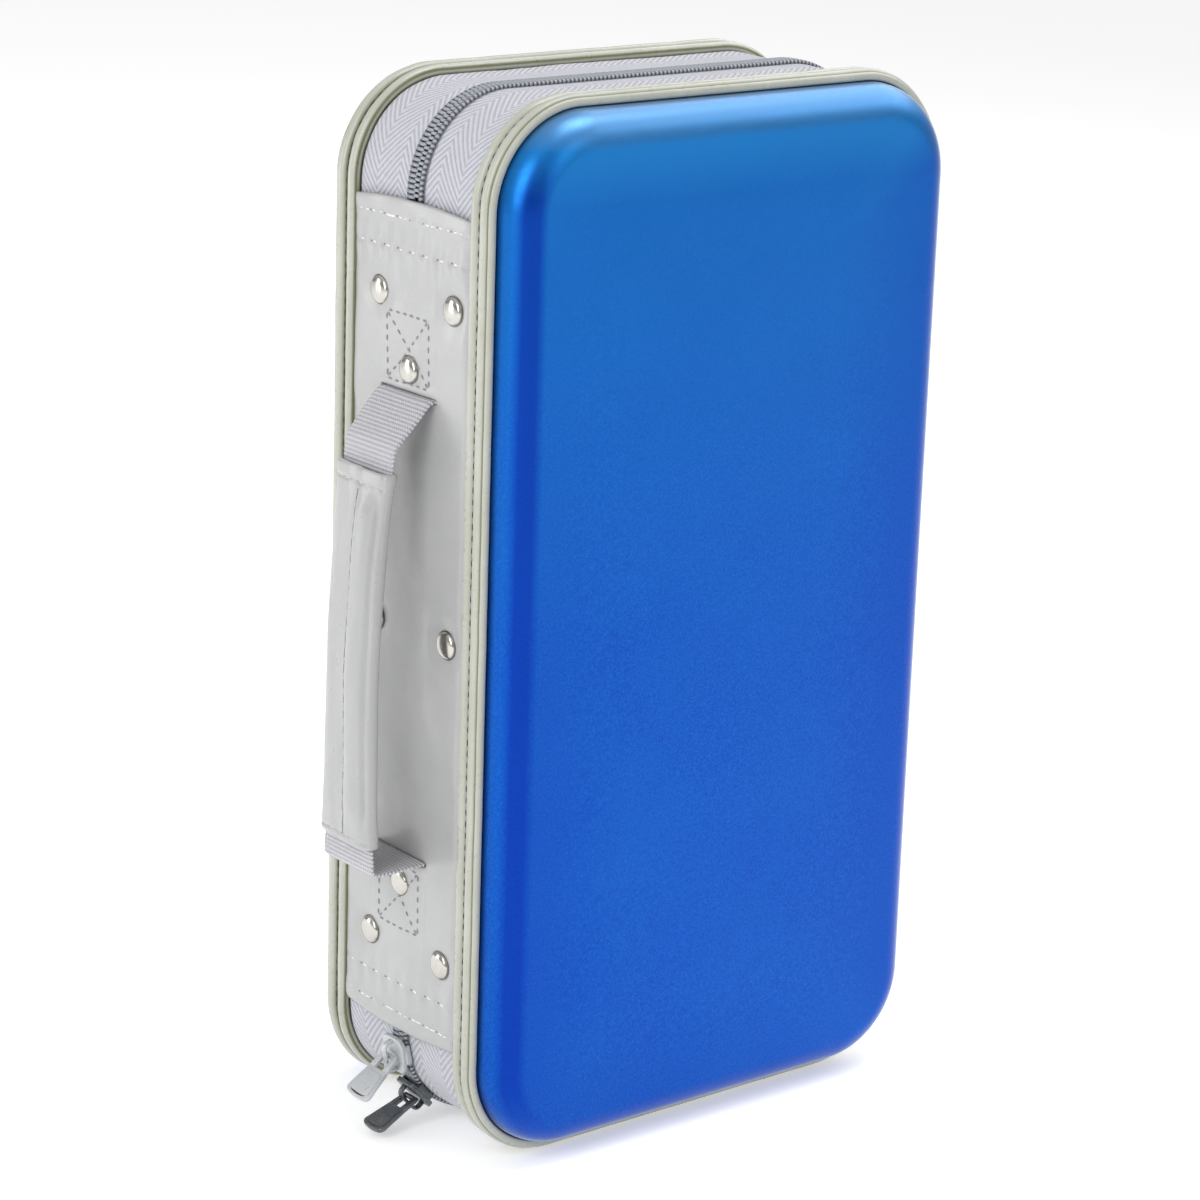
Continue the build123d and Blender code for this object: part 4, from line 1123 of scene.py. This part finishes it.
def slider(n, angle, direction, twist, metal):
    c, s = math.cos(math.radians(angle)), math.sin(math.radians(angle))
    at = frame_matrix((XA, 0, R), (s, 0, -c), (c, 0, s))
    wide = [(-5.7, -2.6), (-4.6, -3.6), (-1.0, -4.1), (2.2, -4.7), (4.2, -4.6), (5.5, -3.4), (5.7, -1.6), (5.7, 1.6), (5.5, 3.4), (4.2, 4.6), (2.2, 4.7), (-1.0, 4.1), (-4.6, 3.6), (-5.7, 2.6)]
    small = [(x * 0.9, y * 0.84) for x, y in wide]
    body = solid(
        [
            (wide, 29.2, 30.75),
            (small, 24.5, 25.6),
            (rounded(-1.6, 1.6, -0.4, 0.4, 0.3), 25.2, 29.6),
            (rounded(-2.6, 3.4, 3.75, 4.65, 0.35), 27.75, 29.6),
            (rounded(-2.6, 3.4, -4.65, -3.75, 0.35), 27.75, 29.6),
        ],
        0.28, metal, f"zip_slider_{n}_body", at)
    arch = [(-4.5, 0, 30.4), (-4.5, 0, 31.6)] + [(-4.5 + 1.8 * (1 - math.cos(a)), 0, 31.9 + 1.75 * math.sin(a)) for a in np.linspace(0.1, math.pi / 2, 7)]
    arch += [(x, 0, 33.65) for x in (-1.2, 0, 1.2)]
    arch += [(-x, y, z) for x, y, z in reversed(arch[:-3])]
    crown = tube(f"zip_slider_{n}_crown", arch, 0.95, 0.5, (0, 1, 0), metal, at, power=3.2)
    both = outward(join(f"zip_slider_{n}_metal", [body, crown]))
    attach(both, f"slider_{n}")
    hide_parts(f"zip_slider_{n}")

    d, e = math.cos(math.radians(direction)), math.sin(math.radians(direction))
    g, h = math.cos(math.radians(twist)), math.sin(math.radians(twist))
    hang = frame_matrix((XA + 32.0 * c, 0, R + 32.0 * s), (d, 0, e), (-e * g, -h, d * g))
    bar = tube(f"zip_pull_{n}_bar", [(0, y, 0) for y in np.linspace(-2.7, 2.7, 9)], 0.74, 0.74, (1, 0, 0), metal, hang, power=2.2, seg=14)
    end = [(13.3 + 1.75 * math.cos(t), 2.72 + 1.75 * math.sin(t)) for t in np.radians(np.linspace(90, 8, 7))] + [(15.25, 1.4), (15.35, 0.0)]
    frame_out = [(4.9, 3.35)] + end + [(x, -y) for x, y in reversed(end[:-1])] + [(4.9, -3.35)]
    arms = [[(-0.35, v * 1.5), (5.2, v * 1.5), (5.2, v * 3.38), (0.3, v * 3.0), (-0.35, v * 2.6)] for v in (1, -1)]
    tab = solid([(frame_out, -0.72, 0.72)] + [(arm, -0.72, 0.72) for arm in arms], 0.26, metal, f"zip_pull_{n}_tab", hang)
    face = [(6.2, 2.9)] + [(12.4 + 1.5 * math.cos(t), 2.2 + 1.4 * math.sin(t)) for t in np.radians(np.linspace(90, 5, 7))] + [(14.0, 0.0)]
    face = face + [(x, -y) for x, y in reversed(face[:-1])]
    plate = solid([(face, 0.6, 1.0), (face, -1.0, -0.6)], 0.16, metal, f"zip_pull_{n}_plate", hang)
    groove = solid([([(13.6 + 0.9 * math.cos(t), 3.0 * math.sin(t)) for t in np.radians(np.linspace(-80, 80, 12))] + [(13.6 + 0.35 * math.cos(t), 2.9 * math.sin(t)) for t in np.radians(np.linspace(80, -80, 12))], zz - 0.03, zz + 0.03) for zz in (0.73, -0.73)], 0.01, THREAD_DARK, f"zip_pull_{n}_groove", hang)
    pull = outward(join(f"zip_pull_{n}_metal", [bar, tab, plate, groove]))
    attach(pull, f"pull_{n}")
    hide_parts(f"zip_pull_{n}")


slider(1, 192.5, 218.0, -12.0, SILVER)
slider(2, 222.0, 203.0, 0.0, GUNMETAL)


# ------------------------------------------------------------------ sleeve sheets
def sleeve_sheet(side, name, k):
    parts = []
    x0, x1, z0, z1 = XS + 6.9, XS + 145.7, 16.0, 284.0
    for leaf, y in enumerate((5.3 + 2.7 * (2 * k), 5.3 + 2.7 * (2 * k + 1))):
        seed = 100 + 10 * k + leaf + (50 if side > 0 else 0)
        xs = np.concatenate([np.linspace(x0, x0 + 12, 9)[:-1], np.linspace(x0 + 12, x1, 34)])
        zs = np.linspace(z0, z1, 54)
        zz, xx = np.meshgrid(zs, xs, indexing="ij")
        # rounded outer corners
        r = 7.0
        trim = r - np.sqrt(np.clip(r * r - np.clip(r - np.minimum(zz - z0, z1 - zz), 0, r) ** 2, 0, None))
        fx = (xx - x0) / (x1 - x0)
        px = xx - trim * fx ** 6
        amp = np.clip((xx - x0 - 8) / 40, 0, 1)
        sag = 0.34 * amp * wave2(xx, zz, seed, 60, 260)
        yy = side * y + sag
        pieces = []
        for off in (0.24, -0.24):
            pieces.append(np.stack([px, yy + off, zz], -1).reshape(-1, 3))
        n, m = xx.shape
        faces = list(grid_faces(n, m)) + [f[::-1] + n * m for f in grid_faces(n, m)]
        edge = [i * m for i in range(n)] + [(n - 1) * m + j for j in range(1, m)] + [i * m + m - 1 for i in range(n - 2, -1, -1)] + list(range(m - 2, 0, -1))
        for a, b in zip(edge, edge[1:] + edge[:1]):
            faces.append((a, b, b + n * m, a + n * m))
        parts.append(outward(make(f"part_{seed}_cloth", np.concatenate(pieces), faces, CLOTH)))
        # film pockets, two above one another on either face, each with a thumb cut in its edge
        for face in (-1, 1):
            for pz0, pz1 in ((18.5, 148.0), (152.0, 281.5)):
                us, vs = np.linspace(0, 1, 26), np.linspace(0, 1, 26)
                vv, uu = np.meshgrid(vs, us, indexing="ij")
                zf = pz0 + (pz1 - pz0) * vv
                mouth = x1 - 6.0 - 15.0 * np.exp(-(((vv - 0.5) / 0.13) ** 4))
                xf = (x0 + 13) + (mouth - x0 - 13) * uu
                ridge = np.minimum(np.minimum(vv, 1 - vv), uu)
                amp = np.clip((xf - x0 - 8) / 40, 0, 1)
                puff = 0.30 + 0.32 * np.clip(ridge / 0.08, 0, 1) + 0.08 * wave2(xf, zf, seed + 7 * face, 18, 70) * np.clip(ridge / 0.1, 0, 1)
                yf = side * y + 0.34 * amp * wave2(xf, zf, seed, 60, 260) + face * puff
                parts.append(make(f"part_{seed}_{face}_{pz0}", np.stack([xf, yf, zf], -1).reshape(-1, 3), grid_faces(26, 26), FILM))
    film = join(f"{name}_sleeve_{k + 1}_film", [p for i, p in enumerate(parts) if i % 5])
    cloth = join(f"{name}_sleeve_{k + 1}", parts[::5])
    for obj in (cloth, film):
        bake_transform(obj)
    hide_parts(f"{name}_sleeve_sheet_{k + 1}")


for k in range(4):
    sleeve_sheet(-1, "front", k)
    sleeve_sheet(1, "back", k)


# ------------------------------------------------------------------ inside of the spine
def spine_lining():
    ys, zs = np.linspace(-25.2, 25.2, 60), np.linspace(34.0, 266.0, 200)
    zz, yy = np.meshgrid(zs, ys, indexing="ij")
    x = XS + 4.6 + 0.6 + 0.06 * wave2(yy, zz, 91, 8, 50)
    n, m = zz.shape
    inner = np.stack([x, yy, zz], -1).reshape(-1, 3)
    outer = np.stack([np.full_like(x, XS + 4.62), yy, zz], -1).reshape(-1, 3)
    faces = list(grid_faces(n, m)) + [f[::-1] + n * m for f in grid_faces(n, m)]
    edge = [i * m for i in range(n)] + [(n - 1) * m + j for j in range(1, m)] + [i * m + m - 1 for i in range(n - 2, -1, -1)] + list(range(m - 2, 0, -1))
    for a, b in zip(edge, edge[1:] + edge[:1]):
        faces.append((a, b, b + n * m, a + n * m))
    obj = outward(make("spine_lining_cloth", np.concatenate([inner, outer]), faces, LINING))
    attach(obj, "spine")
    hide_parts("spine_lining")


spine_lining()

for node, material in (
    ("spine_board", BOARD), ("front_leaf_strip", STRIP), ("back_leaf_strip", STRIP), ("rivet_washers", STEEL),
    ("grip_strap", WEB), ("grip_padding", FOAM),
):
    o = frame["nodes"][node]
    o.data.materials.clear()
    o.data.materials.append(material)

# ------------------------------------------------------------------ studio
bpy.context.scene.view_settings.view_transform = "Standard"
white = Mat("floor_white", (0.92, 0.92, 0.92), 0.7, spec=0.2)
white.set("Emission Color", (1, 1, 1, 1))
white.set("Emission Strength", 0.34)
floor = make("floor", [(-8000, -8000, -0.05), (8000, -8000, -0.05), (8000, 8000, -0.05), (-8000, 8000, -0.05)], [(0, 1, 2, 3)], white.m, smooth=False)

world = bpy.data.worlds.new("studio")
bpy.context.scene.world = world
world.use_nodes = True
wt = world.node_tree
coord = wt.nodes.new("ShaderNodeTexCoord")
parts_xyz = wt.nodes.new("ShaderNodeSeparateXYZ")
sky = wt.nodes.new("ShaderNodeMapRange")
sky.inputs["From Min"].default_value, sky.inputs["From Max"].default_value = -0.1, 0.9
sky.inputs["To Min"].default_value, sky.inputs["To Max"].default_value = 0.26, 0.74
wt.nodes["Background"].inputs["Color"].default_value = (1.0, 1.0, 1.0, 1)
wt.links.new(coord.outputs["Generated"], parts_xyz.inputs[0])
wt.links.new(parts_xyz.outputs["Z"], sky.inputs["Value"])
seen_as = wt.nodes.new("ShaderNodeLightPath")  # white where it is looked at beyond the floor
shown = wt.nodes.new("ShaderNodeMath")
shown.operation = "MAXIMUM"
wt.links.new(sky.outputs["Result"], shown.inputs[0])
wt.links.new(seen_as.outputs["Is Camera Ray"], shown.inputs[1])
wt.links.new(shown.outputs[0], wt.nodes["Background"].inputs["Strength"])


def softbox(name, place, aim, size, power, color=(1, 1, 1)):
    data = bpy.data.lights.new(name, "AREA")
    data.shape = "RECTANGLE"
    data.size, data.size_y = size
    data.energy = power
    data.color = color
    o = bpy.data.objects.new(name, data)
    bpy.context.scene.collection.objects.link(o)
    o.location = place
    o.rotation_euler = (Vector(aim) - Vector(place)).to_track_quat("-Z", "Y").to_euler()
    return o


softbox("top_light", (0.30, -0.10, 1.25), (0, 0, 0.2), (0.55, 0.55), 3.6)
softbox("right_light", (1.10, 0.05, 1.05), (0, 0, 0.25), (2.0, 0.65), 7.5)
softbox("left_light", (-1.15, -0.32, 0.75), (0, 0, 0.15), (0.60, 1.0), 6.8)
softbox("gloss_light", (-0.95, 0.88, 0.36), (0, 0, 0.15), (0.30, 0.7), 2.2)
softbox("front_light", (0.25, -1.35, 0.75), (0, 0, 0.15), (0.7, 0.9), 2.0)

cam_data = bpy.data.cameras.new("camera")
cam = bpy.data.objects.new("camera", cam_data)
bpy.context.scene.collection.objects.link(cam)
bpy.context.scene.camera = cam
cam_data.sensor_width = 36.0
cam_data.lens = 111.73
cam_data.clip_start, cam_data.clip_end = 0.05, 20.0
right, up, fwd = Vector((0.782105, -0.622353, 0.031444)), Vector((0.151812, 0.239235, 0.95902)), Vector((0.604372, 0.745281, -0.281587))
cam.matrix_world = Matrix((right, up, -fwd)).transposed().to_4x4()
cam.location = (-0.645926, -0.795549, 0.447709)
